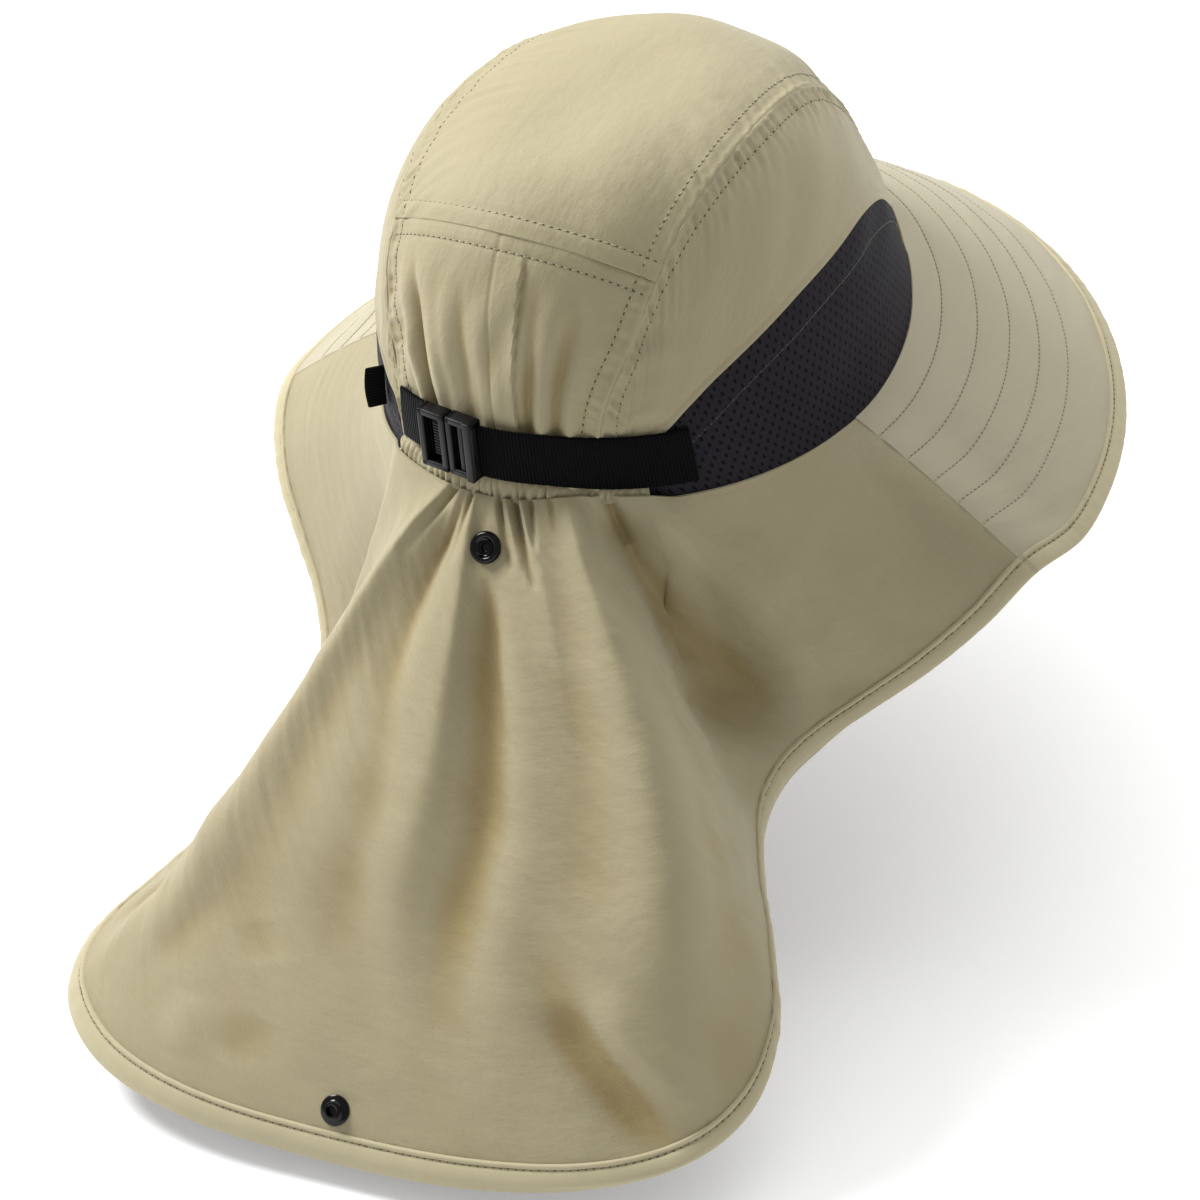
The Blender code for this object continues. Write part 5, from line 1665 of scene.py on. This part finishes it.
def add_studio(right, up, view):
    world = bpy.data.worlds.new("studio")
    bpy.context.scene.world = world
    world.use_nodes = True
    background = world.node_tree.nodes["Background"]
    background.inputs[0].default_value = WHITE
    background.inputs[1].default_value = WORLD_STRENGTH
    bpy.context.scene.view_settings.view_transform = "Standard"
    for name, to_right, to_up, to_front, size, energy in LAMPS:
        way = right * to_right + up * to_up + view * to_front
        add_lamp(name, Vector(LIGHT_AIM) + Vector(way), size, energy)
    low = cad_box[0][2] - FLOOR_DROP
    corners = [(side * FLOOR_REACH, front * FLOOR_REACH, low)
               for side, front in ((-1, -1), (1, -1), (1, 1), (-1, 1))]
    mesh = mesh_of("floor", corners, [(0, 1, 2, 3)])
    graph = Graph("pale_floor", 0.9, specular=0.2)
    graph.shader["Base Color"].default_value = FLOOR_TONE
    graph.shader["Emission Color"].default_value = WHITE
    graph.shader["Emission Strength"].default_value = FLOOR_GLOW
    mesh.materials.append(graph.material)
    floor = bpy.data.objects.new("floor", mesh)
    bpy.context.scene.collection.objects.link(floor)


# Putting it together


def settle(piece, slot, *nodes):
    """A piece rides on the one body and stands for CAD nodes. The slot is not used."""
    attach(piece, "root")
    if nodes:
        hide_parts(*nodes)


def build():
    khaki = cloth_material("khaki_nylon", KHAKI)
    underside = cloth_material("underside_nylon", UNDERSIDE, crinkle=0.5)
    knit = mesh_material("charcoal_mesh")
    webbing = webbing_material("ribbed_webbing")
    tan_thread = thread_material("tan_thread", TAN_THREAD)
    dark_thread = thread_material("dark_thread", DARK_THREAD)
    # Painted shade of the needle holes, in dark colours, on the khaki and on the brim and rim
    needle_hole_shade = thread_material("needle_hole_shade", NEEDLE_HOLE_SHADE)
    rim_hole_shade = thread_material("rim_needle_hole_shade", RIM_HOLE_SHADE)

    crown_rows = []
    top, piece = make_crown_top(khaki)
    settle(piece, "khaki_cloth", "crown_top")
    back, piece = make_crown_back(khaki)
    settle(piece, "khaki_cloth", "crown_back")
    for sheet, cross_run, row in ((top, top.row_end, TOP_BACK_ROW), (back, back.row_start, BACK_TOP_ROW)):
        crown_rows += [sheet.row_at(run, SEAM_ROW) for run in (sheet.column_start, sheet.column_end)]
        crown_rows.append(sheet.row_at(cross_run, row, over_rows=True))
    mesh_rows = []
    for word, side, seed in (("left", 1, 81), ("right", -1, 82)):
        sheet, piece = make_crown_side(f"crown_side_{word}_cloth", side, khaki, seed)
        settle(piece, "khaki_cloth", f"crown_side_{word}")
        crown_rows.append(sheet.row_at(sheet.column_start, SEAM_ROW))
        sheet, piece = make_mesh_band(f"mesh_band_{word}_knit", side, knit)
        settle(piece, "dark_mesh", f"mesh_band_{word}")
        mesh_rows.append(sheet.row_at(sheet.column_end, MESH_ROW))
    add_row_pieces("crown", "khaki_cloth", crown_rows, tan_thread, needle_hole_shade)
    add_row_pieces("mesh", "dark_mesh", mesh_rows, dark_thread, needle_hole_shade)

    brim, brim_rows = make_brim([cloth_material("brim_nylon", BRIM_TOP, crinkle=0.35), underside])
    settle(brim, "brim_cloth", "brim")
    add_row_pieces("brim", "brim_cloth", brim_rows, tan_thread, rim_hole_shade, BRIM_PITCH)
    flap_sheet, flap = make_flap([khaki, underside])
    settle(flap, "khaki_cloth", "neck_flap")
    rim, rim_row = make_rim_band([cloth_material("rim_nylon", RIM_TOP, crinkle=0.3), underside])
    settle(rim, "rim_cloth", "edge_binding")
    add_row_pieces("rim", "rim_cloth", [rim_row], tan_thread, rim_hole_shade)

    plastic = moulded_material("moulded_plastic", PLASTIC, 0.40, 0.2)
    enamel = moulded_material("enamelled_metal", ENAMEL, 0.16, 0.12, coat=0.2, grain=0.000004)
    pieces = [make_casing(khaki), *make_straps(webbing), *make_buckle(plastic), *make_snaps(enamel),
              make_tab(webbing)]
    for piece, slot, node in zip(pieces, (
            "khaki_cloth", "black_webbing", "black_webbing", "black_plastic", "black_plastic",
            "black_enamel", "black_enamel", "black_webbing"), (
            "elastic_casing", "strap_right", "strap_left", "buckle_left", "buckle_right",
            "snap_socket", "snap_stud", "label_tab")):
        settle(piece, slot, node)
    return flap_sheet, flap


add_studio(*add_camera())
flap_sheet, flap = build()
